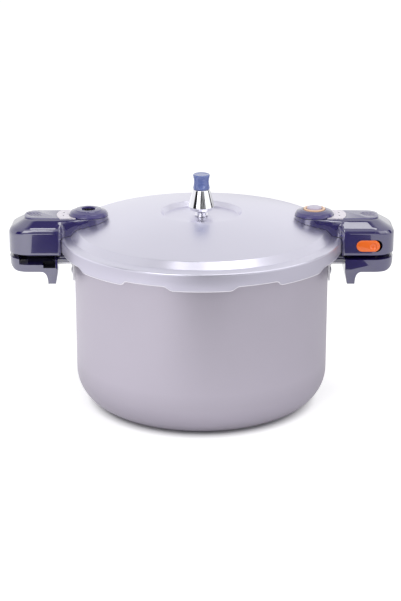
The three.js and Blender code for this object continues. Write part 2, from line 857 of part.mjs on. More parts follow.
function inlayPlan(border) {
  const shape = new THREE.Shape();
  const half = inlayHalfWidth + border;
  const radius = inlayEndRadius + border;
  const corner = inlayEnd - inlayEndRadius;
  shape.moveTo(bossCentre, -half);
  shape.lineTo(corner, -half);
  shape.absarc(corner, radius - half, radius, -Math.PI / 2, 0, false);
  shape.absarc(corner, half - radius, radius, 0, Math.PI / 2, false);
  shape.lineTo(bossCentre, half);
  return shape;
}

function lidHandle(withLock) {
  const form = join(
    common(prism(lidHandlePlan(), lidHandleBottom, lidHandleTop), lidHandleSection(0), lidHandleSide(0, 0)),
    moved(rod(bossRadius, lidHandleBottom, lidHandleTop, capSides), bossCentre),
  );
  const wall = lidHandleWall;
  const cavityPlan = handlePlan(cavityStart, handleReach - wall, handleHalfWidth - wall,
    handleCornerRadius - wall);
  const cavity = common(prism(cavityPlan, lidHandleBottom - wall, lidHandleTop), lidHandleSection(wall),
    lidHandleSide(cavityStart, wall));
  const postFoot = lidHandleBottom + coverThickness + gap;
  const posts = coverScrewPlaces.map(([x, y]) => {
    return moved(rod(postRadius, postFoot, lidHandleTop - wall, screwSides), x, y);
  });
  const postHoles = coverScrewPlaces.map(([x, y]) => {
    const depth = postFoot + smallScrewLength;
    return moved(rod(smallScrewRadius + gap, postFoot - overrun, depth, screwSides), x, y);
  });
  const screwHoles = [-lidScrewOffset, lidScrewOffset].map((offset) => {
    const depth = domeAt(lidScrewReach) + lidScrewGrip;
    return moved(rod(screwRadius + gap, padBottom, depth, screwSides), lidScrewReach, offset);
  });
  const inlayBedCut = prism(inlayPlan(gap), lidHandleTop - inlayBed, lidHandleTop + overrun);
  const cuts = [
    lidEnvelope(),
    moved(rod(bossBoreRadius, lidHandleBottom, lidHandleTop + overrun, capSides), bossCentre),
    ...screwHoles,
    cut(inlayBedCut, moved(rod(capRadius, potHeight, lidHandleTop + 2 * overrun, capSides), bossCentre)),
  ];
  if (withLock) {
    const opening = stadium(slotStart, slotLength, lidHandleBottom + slotBottomRise, slotHeight);
    const inside = -handleHalfWidth - lockButtonProud + lockButtonDepth + gap;
    cuts.push(sideSlab(opening, -handleHalfWidth - overrun, inside, 8));
  }
  const hollow = cut(cavity, ...posts.map((post) => cut(post, ...postHoles)));
  return cut(form, hollow, ...cuts);
}

// Cover under the lid handle, with the block that stops the lid against the pocket's wall
function handleCover(withLock) {
  const border = lidHandleWall + gap;
  const plan = handlePlan(cavityStart + gap, handleReach - border, handleHalfWidth - border,
    handleCornerRadius - border);
  const top = lidHandleBottom + coverThickness;
  const plate = prism(plan, lidHandleBottom, top);
  const stop = sector(stopInnerRadius, stopOuterRadius, -stopHalfAngle, stopHalfAngle,
    lidHandleBottom - stopDepth, lidHandleBottom + coverThickness / 2, 2);
  const holes = coverScrewPlaces.flatMap(([x, y]) => [
    moved(rod(smallScrewRadius + gap, lidHandleBottom - overrun, top + overrun, screwSides), x, y),
    moved(rod(smallScrewHeadRadius + gap, lidHandleBottom - overrun,
      lidHandleBottom + smallScrewHeadHeight + gap, screwSides), x, y),
  ]);
  const cuts = [...holes];
  if (withLock) {
    cuts.push(block(bladeStart - gap, bladeStart + bladeLength + lockTravel + gap,
      -lockArmHalfWidth - gap, lockArmHalfWidth + gap, lidHandleBottom - overrun, top + overrun));
  }
  return cut(join(plate, stop), ...cuts);
}

function coverScrew([x, y]) {
  const length = smallScrewLength + coverThickness - smallScrewHeadHeight - gap;
  const body = screw(smallScrewRadius, smallScrewHeadRadius, smallScrewHeadHeight, lidHandleBottom, length);
  return moved(body, x, y);
}

// Screw from under the lid, up into the handle's boss
function lidHandleScrew(side) {
  const headEdge = Math.hypot(lidScrewReach, lidScrewOffset) + screwHeadRadius;
  const seat = domeAt(headEdge) - lidSheet - 2 * gap;
  const tip = domeAt(lidScrewReach) + lidScrewGrip - gap;
  const body = screw(screwRadius, screwHeadRadius, screwHeadHeight, seat - screwHeadHeight, tip - seat);
  return moved(body, lidScrewReach, side * lidScrewOffset);
}

// Panel let into the handle's top, with a scoop and slanting grip grooves at its outer end
function handleInlay() {
  const low = lidHandleTop - inlayBed + gap;
  const top = low + inlayThickness;
  const scoop = rod(1, 0, scoopDepth + overrun, capSides).scale(scoopLength, scoopHalfWidth, 1);
  const grooves = Array.from({ length: ribCount }, (_, i) => {
    const along = (i - (ribCount - 1) / 2) * ribPitch;
    const groove = block(-ribWidth / 2, ribWidth / 2, -scoopHalfWidth, scoopHalfWidth,
      top - scoopDepth, top + overrun);
    return moved(spun(groove, ribAngle), scoopCentre + along);
  });
  const limits = moved(scoop, scoopCentre, 0, top - scoopDepth);
  return cut(
    prism(inlayPlan(0), low, top),
    moved(rod(labelRadius + gap, low - overrun, top + overrun, wideSides), bossCentre),
    ...grooves.map((groove) => common(groove, limits)),
  );
}

// Pale band round the cap, as wide as the panel, with two dots
function labelPlate() {
  const low = lidHandleTop - inlayBed + gap;
  const top = low + labelThickness;
  const band = moved(tube(capRadius + gap, labelRadius, low, top, wideSides), bossCentre);
  const dot = rod(dotRadius, top - dotDepth, top + overrun, screwSides);
  const dots = [-dotOffset, dotOffset].map((offset) => moved(dot, bossCentre + dotReach, offset));
  return cut(common(band, prism(inlayPlan(0), low, top)), ...dots);
}

// Lock slide: an orange button outside and a bolt that drops into the pot handle's pocket

function lockButton() {
  const low = lidHandleBottom + slotBottomRise + gap;
  const height = slotHeight - 2 * gap;
  const left = slotStart + gap;
  const front = -handleHalfWidth - lockButtonProud;
  const inner = -handleHalfWidth + lidHandleWall + gap;
  const button = sideSlab(stadium(left, lockButtonLength, low, height), front, front + lockButtonDepth, 8);
  const flangeShape = polygon([
    [left - lockFlangeBorder, low - lockFlangeBorder / 2],
    [left + lockFlangeLength, low - lockFlangeBorder / 2],
    [left + lockFlangeLength, low + height + lockFlangeBorder],
    [left - lockFlangeBorder, low + height + lockFlangeBorder],
  ]);
  const flange = sideSlab(flangeShape, inner, inner + lockFlangeThickness);
  const thumb = new THREE.SphereGeometry(lockThumbRadius, 10, 8);
  const thumbCentre = left + lockButtonLength - lockThumbRadius - lockThumbDepth;
  const scoop = moved(thumb, thumbCentre, front - lockThumbRadius + lockThumbDepth, low + height / 2);
  return cut(join(button, flange), scoop);
}

function lockBolt() {
  const low = lidHandleBottom + coverThickness + gap;
  const top = low + lockArmThickness;
  const start = slotStart;
  const seat = -handleHalfWidth - lockButtonProud + lockButtonDepth + gap;
  const end = bladeStart + bladeLength;
  const arm = polygon([
    [start, seat],
    [start + lockArmLength, seat],
    [start + lockArmLength, -lockArmHalfWidth],
    [end, -lockArmHalfWidth],
    [end, lockArmHalfWidth],
    [start, lockArmHalfWidth],
  ]);
  const bladeBottom = potHandleTop - pocketDepth + 2 * gap;
  const blade = block(bladeStart, end, -lockArmHalfWidth, lockArmHalfWidth, bladeBottom, top);
  return join(prism(arm, low, top), blade);
}

// Round caps on the handle bosses; each has a spigot that locates it in the boss's bore

function capOutside() {
  const low = lidHandleTop + gap;
  const top = low + capRise;
  const shoulder = low + capRim + (capRise - capRim) * capShoulderShare;
  const terrace = low + capRim + (capRise - capRim) * capTerraceShare;
  return {
    low,
    top,
    terrace,
    points: [
      [capSpigotRadius, low],
      [capRadius, low],
      [capRadius, low + capRim],
      [capRadius * capShoulderRadiusShare, shoulder],
      [capTerraceRadius, terrace],
    ],
  };
}

function capSpigot(low) {
  const inner = capSpigotRadius - capSpigotWall;
  return [[inner, low - capSpigotDepth], [capSpigotRadius, low - capSpigotDepth]];
}

function ventCap() {
  const { low, top, terrace, points } = capOutside();
  const inner = capSpigotRadius - capSpigotWall;
  const profile = [
    ...points,
    [capTerraceRadius - capTerraceStep, terrace + capTerraceStep],
    [capLipRadius, top],
    [ventRadius, top - capTerraceStep],
    [ventRadius, top - capPlate],
    [inner, top - capPlate],
    ...capSpigot(low),
  ];
  return moved(ring(profile, capSides), bossCentre);
}

function indicatorCap() {
  const { low, terrace, points } = capOutside();
  const inner = capSpigotRadius - capSpigotWall;
  const ringBed = low + capRise - capPlate + gap;
  const hole = buttonRadius + 2 * gap;
  const profile = [
    ...points,
    [indicatorRingRadius + gap, terrace + capTerraceStep],
    [indicatorRingRadius + gap, ringBed],
    [hole, ringBed],
    [hole, ringBed - capPlate / 2],
    [inner, ringBed - capPlate / 2],
    ...capSpigot(low),
  ];
  return moved(ring(profile, capSides), bossCentre);
}

function indicatorRing() {
  const low = lidHandleTop + capRise - capPlate + 3 * gap;
  const top = low + indicatorRingHeight;
  const inner = indicatorRingRadius - indicatorRingWall;
  return moved(ring([
    [inner, low],
    [indicatorRingRadius, low],
    [indicatorRingRadius, top - indicatorRingRound],
    [indicatorRingRadius - indicatorRingRound, top],
    [inner + indicatorRingRound, top],
    [inner, top - indicatorRingRound],
  ], capSides), bossCentre);
}

// Threaded bushes: a flange on the lid's pad, a collar above it and a thread below

const bushFlangeLow = padTop + gap;
const bushFlangeTop = bushFlangeLow + bushFlange;
const bushTop = bushFlangeLow + bushCollarRise;
const bushBottom = padBottom - bushDrop;
const gasketTop = padBottom - gap;
const nutTop = gasketTop - valveGasketThickness - gap;

function bush(bore) {
  const outside = [
    [bushRadius, bushBottom - nutHeight / 2],
    [bushRadius, bushFlangeLow],
    [bushFlangeRadius, bushFlangeLow],
    [bushFlangeRadius, bushFlangeTop],
    [bushCollarRadius, bushFlangeTop],
    [bushCollarRadius, bushTop],
  ];
  return moved(ring([...outside, ...bore], valveSides), bossCentre);
}

function indicatorHousing() {
  const radius = floatRadius + runningGap;
  return bush([[radius, bushTop], [radius, bushBottom - nutHeight / 2]]);
}

function valveGasket() {
  const low = gasketTop - valveGasketThickness;
  return moved(tube(bushRadius + gap, valveGasketRadius, low, gasketTop, valveSides), bossCentre);
}

function valveNut() {
  return moved(hexagon(nutRadius, nutTop - nutHeight, nutTop, bushRadius + gap), bossCentre);
}

// Pressure indicator: button, float and seal rise together

const sealTop = bushBottom - nutHeight / 2 - indicatorTravel - gap;

function indicatorFloat() {
  const sealBed = sealTop - sealThickness - gap;
  const shoulder = bushTop + gap;
  return moved(turned([
    [0, sealBed - floatFlange],
    [floatFlangeRadius, sealBed - floatFlange],
    [floatFlangeRadius, sealBed],
    [floatRadius, sealBed],
    [floatRadius, shoulder - gap],
    [floatPinRadius, shoulder - gap],
    [floatPinRadius, shoulder + floatPinLength - gap],
    [0, shoulder + floatPinLength - gap],
  ], valveSides), bossCentre);
}

function indicatorSeal() {
  return moved(tube(floatRadius + gap, sealRadius, sealTop - sealThickness, sealTop, valveSides), bossCentre);
}

function indicatorButton() {
  const low = bushTop + gap;
  const top = low + buttonHeight;
  return moved(turned([
    [0, low + floatPinLength],
    [floatPinRadius + gap, low + floatPinLength],
    [floatPinRadius + gap, low],
    [buttonRadius, low],
    [buttonRadius, top - buttonRound],
    [buttonRadius - buttonRound, top],
    [0, top],
  ], capSides), bossCentre);
}

// Safety valve: a spring holds the plunger on its seat until the pressure lifts it

const safetySeat = bushBottom + safetySeatRise;
const retainerLow = bushTop - retainerThickness - gap;

function safetyBush() {
  return bush([
    [safetyChamberRadius, bushTop],
    [safetyChamberRadius, safetySeat],
    [safetyInletRadius, safetySeat],
    [safetyInletRadius, bushBottom - nutHeight / 2],
  ]);
}

function safetyPlunger() {
  const low = safetySeat + gap;
  return moved(turned([
    [0, low],
    [safetyPuckRadius, low],
    [safetyPuckRadius, low + safetyPuckHeight],
    [safetyStemRadius, low + safetyPuckHeight],
    [safetyStemRadius, low + safetyStemLength],
    [0, low + safetyStemLength],
  ], valveSides), bossCentre);
}

function safetySpring() {
  const low = safetySeat + safetyPuckHeight + 2 * gap + springWireRadius;
  const high = retainerLow - gap - springWireRadius;
  const steps = springTurns * springStepsPerTurn;
  const points = Array.from({ length: steps + 1 }, (_, i) => {
    const angle = 2 * Math.PI * springTurns * i / steps;
    const height = low + (high - low) * i / steps;
    return new THREE.Vector3(springRadius * Math.cos(angle), springRadius * Math.sin(angle), height);
  });
  const wire = new THREE.Shape();
  wire.absarc(0, 0, springWireRadius, 0, 2 * Math.PI, false);
  const coil = new THREE.ExtrudeGeometry(wire, {
    steps, curveSegments: 5, bevelEnabled: false, extrudePath: new THREE.CatmullRomCurve3(points),
  });
  return moved(coil, bossCentre);
}

function safetyRetainer() {
  const ringPiece = tube(safetyStemRadius + gap, safetyChamberRadius - gap, retainerLow,
    retainerLow + retainerThickness, valveSides);
  return moved(ringPiece, bossCentre);
}

// Toothed ring in the steam outlet
function ventGrille() {
  const low = bushTop + gap;
  const outer = ventRadius - gap;
  const inner = outer - grilleWall;
  const band = tube(inner, outer, low, low + grilleHeight, capSides);
  const teeth = Array.from({ length: grilleTeeth }, (_, i) => {
    const tooth = block(inner - grilleToothLength, inner + grilleWall / 2, -grilleToothWidth / 2,
      grilleToothWidth / 2, low, low + grilleHeight);
    return spun(tooth, fullTurn * i / grilleTeeth);
  });
  return moved(join(band, ...teeth), bossCentre);
}

// Vent pipe with its washer, nut and filter cap

const pipeWasherTop = floorUnderside - gap;
const pipeNutTop = pipeWasherTop - pipeWasher - gap;
const filterTop = pipeNutTop - nutHeight - gap;
const filterLow = filterTop - filterDepth;
const pipeBottom = filterLow + filterWall + filterSpace;
const pipeTop = floorHeight + pipeRise;

function ventPipe() {
  const foot = floorHeight + gap;
  const collarTop = floorHeight + pipeCollarRise;
  return ring([
    [pipeBoreRadius, pipeBottom],
    [pipeRadius, pipeBottom],
    [pipeRadius, foot],
    [pipeFootRadius, foot],
    [pipeFootRadius, foot + pipeFoot],
    [pipeCollarRadius, foot + pipeFoot],
    [pipeCollarRadius, collarTop - pipeFoot],
    [pipeNoseRadius, collarTop],
    [pipeNoseRadius, pipeTop - pipeTipRadius],
    [pipeTipRadius, pipeTop],
    [pipeBoreRadius, pipeTop],
  ], valveSides);
}

function ventPipeWasher() {
  return tube(pipeRadius + gap, pipeWasherRadius, pipeWasherTop - pipeWasher, pipeWasherTop, valveSides);
}

function ventPipeNut() {
  return hexagon(nutRadius, pipeNutTop - nutHeight, pipeNutTop, pipeRadius + gap);
}

function ventFilter() {
  const inner = pipeRadius + gap;
  const outer = inner + filterWall;
  const cup = turned([
    [0, filterLow],
    [outer, filterLow],
    [outer, filterTop],
    [inner, filterTop],
    [inner, filterLow + filterWall],
    [0, filterLow + filterWall],
  ], valveSides);
  const holes = Array.from({ length: filterHoles }, (_, i) => {
    const hole = rod(filterHoleRadius, filterLow - overrun, pipeBottom, screwSides);
    return spun(moved(hole, inner / 2), fullTurn * i / filterHoles);
  });
  return cut(cup, ...holes);
}

// Pressure regulator: a weight that hangs over the pipe and closes it with a needle

const weightLow = floorHeight + weightRise;
const weightTop = weightLow + weightHeight;
const clipLow = weightLow + weightMouth + gap;

function regulatorWeight() {
  const boreTop = pipeTop + 2 * gap;
  const needleTop = pipeTop + gap + needleLength + gap;
  return turned([
    [0, needleTop],
    [needleRadius + gap, needleTop],
    [needleRadius + gap, boreTop],
    [weightBoreRadius, boreTop],
    [weightBoreRadius, clipLow + clipHeight + gap],
    [clipGrooveRadius, clipLow + clipHeight + gap],
    [clipGrooveRadius, clipLow - gap],
    [weightMouthRadius, clipLow - gap],
    [weightMouthRadius, weightLow],
    [weightBottomRadius, weightLow],
    [weightRadius, weightLow + weightBevel],
    [weightTopRadius, weightTop],
    [studRadius, weightTop],
    [studRadius, weightTop + studHeight],
    [0, weightTop + studHeight],
  ], capSides);
}

function regulatorNeedle() {
  const low = pipeTop + gap;
  return turned([
    [0, low],
    [needleRadius / 3, low],
    [needleRadius, low + needlePoint],
    [needleRadius, low + needleLength],
    [0, low + needleLength],
  ], screwSides);
}

function retainingClip() {
  return tube(pipeNoseRadius + gap, clipGrooveRadius - gap, clipLow, clipLow + clipHeight, valveSides);
}

function regulatorKnob() {
  const low = weightTop + gap;
  const outside = knobHeightShares.map((share, i) => {
    return [knobRadius * knobRadiusShares[i], low + knobHeight * share];
  });
  const socketTop = weightTop + studHeight + gap;
  const knob = turned([
    [0, socketTop],
    [studRadius + gap, socketTop],
    [studRadius + gap, low],
    ...outside,
    [0, low + knobHeight],
  ], capSides);
  const scoop = new THREE.SphereGeometry(knobScoopRadius, capSides, capSides);
  const scoopReach = knobRadius - knobScoopDepth + knobScoopRadius;
  const scoops = Array.from({ length: knobScoops }, (_, i) => {
    return spun(moved(scoop, scoopReach, 0, low + knobHeight / 2), fullTurn * i / knobScoops);
  });
  return cut(knob, ...scoops);
}

// Assembly

const pot = new THREE.Group();
const lid = new THREE.Group();
pot.add(piece('pot_body', potBody(), 'pot'));
lid.add(piece('lid_shell', lidShell(), 'lid'));
lid.add(piece('lid_gasket', lidGasket(), 'rubber'));

for (const side of ['right', 'left']) {
  const isRight = side === 'right';
  const potSide = new THREE.Group();
  const lidSide = new THREE.Group();
  if (!isRight) {
    potSide.rotation.z = Math.PI;
    lidSide.rotation.z = Math.PI;
  }
  potSide.add(
    piece(`${side}_pot_bracket`, potBracket(), 'steel'),
    piece(`${side}_pot_rivet_a`, potRivet(1), 'steel'),
    piece(`${side}_pot_rivet_b`, potRivet(-1), 'steel'),
    piece(`${side}_pot_handle`, potHandle(), 'navy'),
    piece(`${side}_pot_handle_screw`, potHandleScrew(), 'steel'),
  );
  lidSide.add(
    piece(`${side}_lid_handle`, lidHandle(isRight), 'navy'),
    piece(`${side}_handle_cover`, handleCover(isRight), 'darkNavy'),
    piece(`${side}_cover_screw_a`, coverScrew(coverScrewPlaces[0]), 'steel'),
    piece(`${side}_cover_screw_b`, coverScrew(coverScrewPlaces[1]), 'steel'),
    piece(`${side}_lid_handle_screw_a`, lidHandleScrew(1), 'steel'),
    piece(`${side}_lid_handle_screw_b`, lidHandleScrew(-1), 'steel'),
    piece(`${side}_handle_inlay`, handleInlay(), 'navy'),
    piece(`${side}_label_plate`, labelPlate(), 'label'),
    piece(isRight ? 'indicator_nut' : 'safety_valve_nut', valveNut(), 'steel'),
    piece(isRight ? 'indicator_gasket' : 'safety_valve_gasket', valveGasket(), 'rubber'),
  );
  if (isRight) {
    lidSide.add(
      piece('lock_button', lockButton(), 'orange'),
      piece('lock_bolt', lockBolt(), 'steel'),
      piece('indicator_cap', indicatorCap(), 'navy'),
      piece('indicator_ring', indicatorRing(), 'peach'),
      piece('indicator_housing', indicatorHousing(), 'steel'),
      piece('indicator_button', indicatorButton(), 'lilac'),
      piece('indicator_float', indicatorFloat(), 'steel'),
      piece('indicator_seal', indicatorSeal(), 'rubber'),
    );
  } else {
    lidSide.add(
      piece('vent_cap', ventCap(), 'navy'),
      piece('vent_grille', ventGrille(), 'darkNavy'),
      piece('safety_valve_body', safetyBush(), 'brass'),
      piece('safety_valve_plunger', safetyPlunger(), 'brass'),
      piece('safety_valve_spring', safetySpring(), 'steel'),
      piece('safety_valve_retainer', safetyRetainer(), 'steel'),
    );
  }
  pot.add(potSide);
  lid.add(lidSide);
}

lid.add(
  piece('vent_pipe', ventPipe(), 'chrome'),
  piece('vent_pipe_washer', ventPipeWasher(), 'rubber'),
  piece('vent_pipe_nut', ventPipeNut(), 'steel'),
  piece('vent_filter', ventFilter(), 'steel'),
  piece('regulator_weight', regulatorWeight(), 'chrome'),
  piece('regulator_needle', regulatorNeedle(), 'steel'),
  piece('regulator_clip', retainingClip(), 'steel'),
  piece('regulator_knob', regulatorKnob(), 'knob'),
);

const cooker = new THREE.Group();
cooker.add(pot, lid);

export default cooker;
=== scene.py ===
import math
import bmesh
import bpy
from mathutils import Matrix, Vector


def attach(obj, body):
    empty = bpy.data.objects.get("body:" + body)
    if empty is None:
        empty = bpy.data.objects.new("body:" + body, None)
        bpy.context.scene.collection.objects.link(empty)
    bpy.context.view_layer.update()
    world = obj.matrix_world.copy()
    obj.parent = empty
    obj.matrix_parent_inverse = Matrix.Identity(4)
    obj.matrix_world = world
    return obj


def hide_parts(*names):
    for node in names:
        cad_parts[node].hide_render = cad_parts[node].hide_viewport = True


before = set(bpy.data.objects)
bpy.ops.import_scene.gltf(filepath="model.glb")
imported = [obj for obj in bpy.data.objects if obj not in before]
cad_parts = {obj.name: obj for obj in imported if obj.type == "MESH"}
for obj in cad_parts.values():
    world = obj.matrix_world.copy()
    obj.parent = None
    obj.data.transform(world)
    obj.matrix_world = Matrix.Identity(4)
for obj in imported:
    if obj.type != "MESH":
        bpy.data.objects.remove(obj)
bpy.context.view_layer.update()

# Sizes are millimetres, turned to metres as meshes are made. +Z is up, the front faces -Y,
# and pieces of the left hand side are the right hand ones turned half round the pot's axis.
MM = 0.001
GAP = 0.3

# Camera: the photograph's angle, aim height, distance and framing
PITCH = 18.65
AIM_HEIGHT = 105.75
CAMERA_DISTANCE = 1801.0
CAMERA_SIDE = -0.95
FOCAL_PIXELS = 1700.0
FRAME_HEIGHT = 601
SENSOR = 36.0

# Pot
POT_RADIUS = 132.8
POT_SHEET = 2.8
POT_CORNER = 36.0
POT_CORNER_STEPS = 18
POT_STEPS = 224
POT_HEIGHT = 169.9
RIM_RADIUS = 137.0
RIM_THICKNESS = 3.8
RIM_RUN = 8.0
RIM_ROUNDS = (0.8, 0.5, 0.9, 1.2)
WALL_MIDDLE = 100.0
LUG_RADIUS = 142.4
LUG_HALF_ANGLE = 8
LUG_ROUND = 0.6
LUG_ANGLES = (0, 43, 137, 180, 223, 317)

# Lid
LID_RADIUS = 147.0
LID_SHEET = 2.2
LIP_THICKNESS = 2.6
LIP_INNER_RADIUS = 138.0
LIP_OUTER_RADIUS = LID_RADIUS - 1.2
LIP_ROUND = 0.5
TAB_DEPTH = 4.1
TAB_BOTTOM = POT_HEIGHT - RIM_THICKNESS - GAP - LIP_THICKNESS
LEDGE_HEIGHT = TAB_BOTTOM + 18.1
GROOVE_RADIUS = 137.1
GROOVE_HEIGHT = LEDGE_HEIGHT + 1.4
CROWN_RADIUS = 130.3
CROWN_HEIGHT = GROOVE_HEIGHT + 6.6
DOME_RISE = 14.7
RECESS_RADIUS = 42.2
RECESS_FLOOR_RADIUS = 38.8
RECESS_RIM_HEIGHT = CROWN_HEIGHT + DOME_RISE
FLOOR_HEIGHT = RECESS_RIM_HEIGHT - 4.8
FRONT_TAB = (11.2, 14.6)
SIDE_TAB_START = (30.5, 32.5)
SIDE_TAB_END = (53.0, 58.0)
SKIRT_RUN = 6.0
DOME_STEPS = 16
RECESS_ROUNDS = (1.6, 1.3)
RECESS_UNDER_ROUNDS = (3.4, 0.4)
LEDGE_ROUNDS = (2.2, 0.9, 1.5)
LEDGE_UNDER_ROUNDS = (0.4, 2.6, 0.6)
VENT_BORE = 4.9
VALVE_BORE = 5.3
PAD_RADIUS = 10.0
PAD_RISE = 2.4
LID_SCREW_REACH = 121.0
LID_SCREW_SPREAD = 14.2

# Handles
HANDLE_REACH = 200.0
HANDLE_HALF_WIDTH = 31.0
HANDLE_CORNER = 21.0
LID_HANDLE_TOP = 200.0
LID_HANDLE_BOTTOM = 164.7
BLOCK_START = 144.6
SHOULDER_RADIUS = 3.5
NECK_HALF_WIDTH = 22.0
NECK_FILLET = 5.0
BOSS_CENTRE = 117.5
BOSS_RADIUS = 20.5
BOSS_BORE = 10.4
BOSS = (BOSS_CENTRE, 0)
CAVITY_START = 150.1
COVER_SCREW_PLACES = ((161, 19), (183, 13))
COVER_POST_RADIUS = 4.2
SLOT_LEFT = 159.3
SLOT_LENGTH = 27.3
SLOT_LOW = 168.9
SLOT_HEIGHT = 12.7
LOCK_TRAVEL = 2.5
INLAY_LOW = 199.1
INLAY_TOP = 200.6
INLAY_BED_DEPTH = 1.2
INLAY_ROUND = 0.45
INLAY_HALF_WIDTH = 16.4
INLAY_CORNER = 12.0
INLAY_END = 184.0
SCOOP_CENTRE = 174.0
SCOOP_HALF_LENGTH = 8.0
SCOOP_HALF_WIDTH = 9.5
SCOOP_DEPTH = 0.42
RIB_PITCH = 3.2
RIB_WIDTH = 1.3
RIB_DEPTH = 0.95
RIB_SLANT = 120
LONG_RIB = 8.2
SHORT_RIB = 6.4
LABEL_RADIUS = 33.2
LABEL_TOP = 200.9
DOT_RADIUS = 0.9
DOT_DEPTH = 0.5
DOT_REACH = 25.9
DOT_OFFSET = 5.5

# Caps and regulator
CAP_LOW = LID_HANDLE_TOP + GAP
CAP_TOP = CAP_LOW + 6.7
CAP_RIM_HEIGHT = 6.14
CAP_STEP_DEPTH = 2.8
CAP_RADIUS = 20.3
CAP_BORE = 9.3
CAP_FOOT_RADIUS = 10.1
CAP_FOOT_DEPTH = 2.7
GRILLE_LOW = 203.6
RING_LOW = 204.8
WEIGHT_LOW = 206.0

# Brackets and pot handles
RIVET_RADIUS = 2.4
RIVET_HEAD = 4.2
RIVET_HEAD_HEIGHT = 0.9
RIVET_SPREAD = 6.5
POT_HANDLE_TOP = 160.3
POT_HANDLE_BOTTOM = 147.3
EXTENSION_BOTTOM = 153.1
EXTENSION_HALF_WIDTH = 17.0
EXTENSION_ROUND = 0.8
POT_HANDLE_START = 148.5
POT_HANDLE_REACH = 199.4
POT_HANDLE_ROUND = 1.1
LEG_OUTER = 158.7
LEG_DEPTH = 12.8
LEG_LEAN = 2.2
LEG_FILLET = 7.3
END_RUN = 12.0
END_RISE = 12.7
POCKET_START = 154.0
POCKET_END = 190.5
POCKET_DEPTH = 5.5
POCKET_OPEN_ANGLE = 30
STOP_ANGLE = -1.8
STOP_RADIUS = 156.0
DEEP_POCKET_END = 166.4
DEEP_POCKET_ANGLE = 6
DEEP_POCKET_DEPTH = 8.8
BLADE_RECESS_END = 192.9
BLADE_RECESS_HALF = 2.3
TONGUE_TOP = 152.8
TONGUE_REACH = 176.0
BRACKET_SHEET = 2.0
BRACKET_HALF_WIDTH = 14.0
BRACKET_BOTTOM = 132.5
RIVET_HEIGHT = TONGUE_TOP - 11.0
SCREW_PLACE = (166.0, -9.5)
SCREW_BORE = 2.3
SCREW_HEAD_BORE = 4.1
SCREW_HEAD_DEPTH = 2.7

# Where the cutting tools start and end, well past what they cut, and how far faces that would
# meet in one plane are kept apart
POT_CUT = (100, 200)
HANDLE_CUT = (100, 250)
LID_CUT = (150, 250)
WALL_CUT = (120, 150)
SLOT_CUT = (-35, -26)
INNER_REACH = 130
OVERRUN = 4
APART = 0.01
FACE_INSET = 0.05
FINE_HOLE_STEPS = 32


# Mesh helpers

def placed(name, data):
    """Puts a mesh, a lamp or a camera into the scene as an object."""
    item = bpy.data.objects.new(name, data)
    bpy.context.scene.collection.objects.link(item)
    return item


def new_object(name, verts, faces):
    mesh = bpy.data.meshes.new(name)
    mesh.from_pydata([tuple(MM * c for c in v) for v in verts], [], faces)
    work = bmesh.new()
    work.from_mesh(mesh)
    bmesh.ops.remove_doubles(work, verts=work.verts, dist=1e-7)
    bmesh.ops.recalc_face_normals(work, faces=work.faces)
    work.to_mesh(mesh)
    work.free()
    return placed(name, mesh)


def turned_grid(name, profile_at, steps, closed=False, centre=(0, 0)):
    """Turns a profile round Z; profile_at(angle) gives its (radius, height) points at that angle
    from the front."""
    verts, faces = [], []
    count = len(profile_at(0))
    for i in range(steps):
        angle = 360 * i / steps
        turn = math.radians(angle)
        for radius, height in profile_at(angle):
            verts.append((centre[0] + radius * math.sin(turn), centre[1] - radius * math.cos(turn), height))
    segments = count if closed else count - 1
    for i in range(steps):
        ahead = (i + 1) % steps
        for j in range(segments):
            k = (j + 1) % count
            faces.append((i * count + j, ahead * count + j, ahead * count + k, i * count + k))
    return new_object(name, verts, faces)


def turned(name, profile, steps=96, closed=False, centre=(0, 0)):
    return turned_grid(name, lambda angle: profile, steps, closed, centre)


def rounded(points, radii, closed=False, steps=5):
    """A polyline whose corners are arcs; a radius of 0 leaves a corner sharp."""
    result = []
    count = len(points)
    for i, (point, radius) in enumerate(zip(points, radii)):
        if radius == 0 or (not closed and i in (0, count - 1)):
            result.append(tuple(point))
            continue
        here = Vector(point)
        back = (Vector(points[i - 1]) - here)
        ahead = (Vector(points[(i + 1) % count]) - here)
        half = back.angle(ahead) / 2
        reach = min(radius / math.tan(half), back.length * 0.49, ahead.length * 0.49)
        back.normalize()
        ahead.normalize()
        radius = reach * math.tan(half)
        centre = here + (back + ahead).normalized() * (radius / math.sin(half))
        start = here + back * reach - centre
        end = here + ahead * reach - centre
        sweep = start.angle_signed(end)
        for k in range(steps + 1):
            angle = sweep * k / steps
            arm = Vector((start.x * math.cos(angle) + start.y * math.sin(angle),
                          -start.x * math.sin(angle) + start.y * math.cos(angle)))
            result.append(tuple(centre + arm))
    return result


def arc(centre, radius, start, end, steps):
    return [(centre[0] + radius * math.cos(math.radians(start + (end - start) * i / steps)),
             centre[1] + radius * math.sin(math.radians(start + (end - start) * i / steps)))
            for i in range(steps + 1)]


def loft(name, rings):
    """Joins rings of equal length, first to last, and closes both ends with a face."""
    count = len(rings[0])
    verts = [v for ring in rings for v in ring]
    faces = [tuple(reversed(range(count)))]
    for i in range(len(rings) - 1):
        for j in range(count):
            k = (j + 1) % count
            faces.append((i * count + j, i * count + k, (i + 1) * count + k, (i + 1) * count + j))
    faces.append(tuple(range((len(rings) - 1) * count, len(rings) * count)))
    return new_object(name, verts, faces)


def slab(name, outline, low, high, axis="Z"):
    """An outline drawn out between two places along an axis. Along Y its points are X and Z."""
    order = {"Z": lambda u, v, w: (u, v, w), "Y": lambda u, v, w: (u, w, v), "X": lambda u, v, w: (w, u, v)}
    place = order[axis]
    return loft(name, [[place(u, v, low) for u, v in outline], [place(u, v, high) for u, v in outline]])


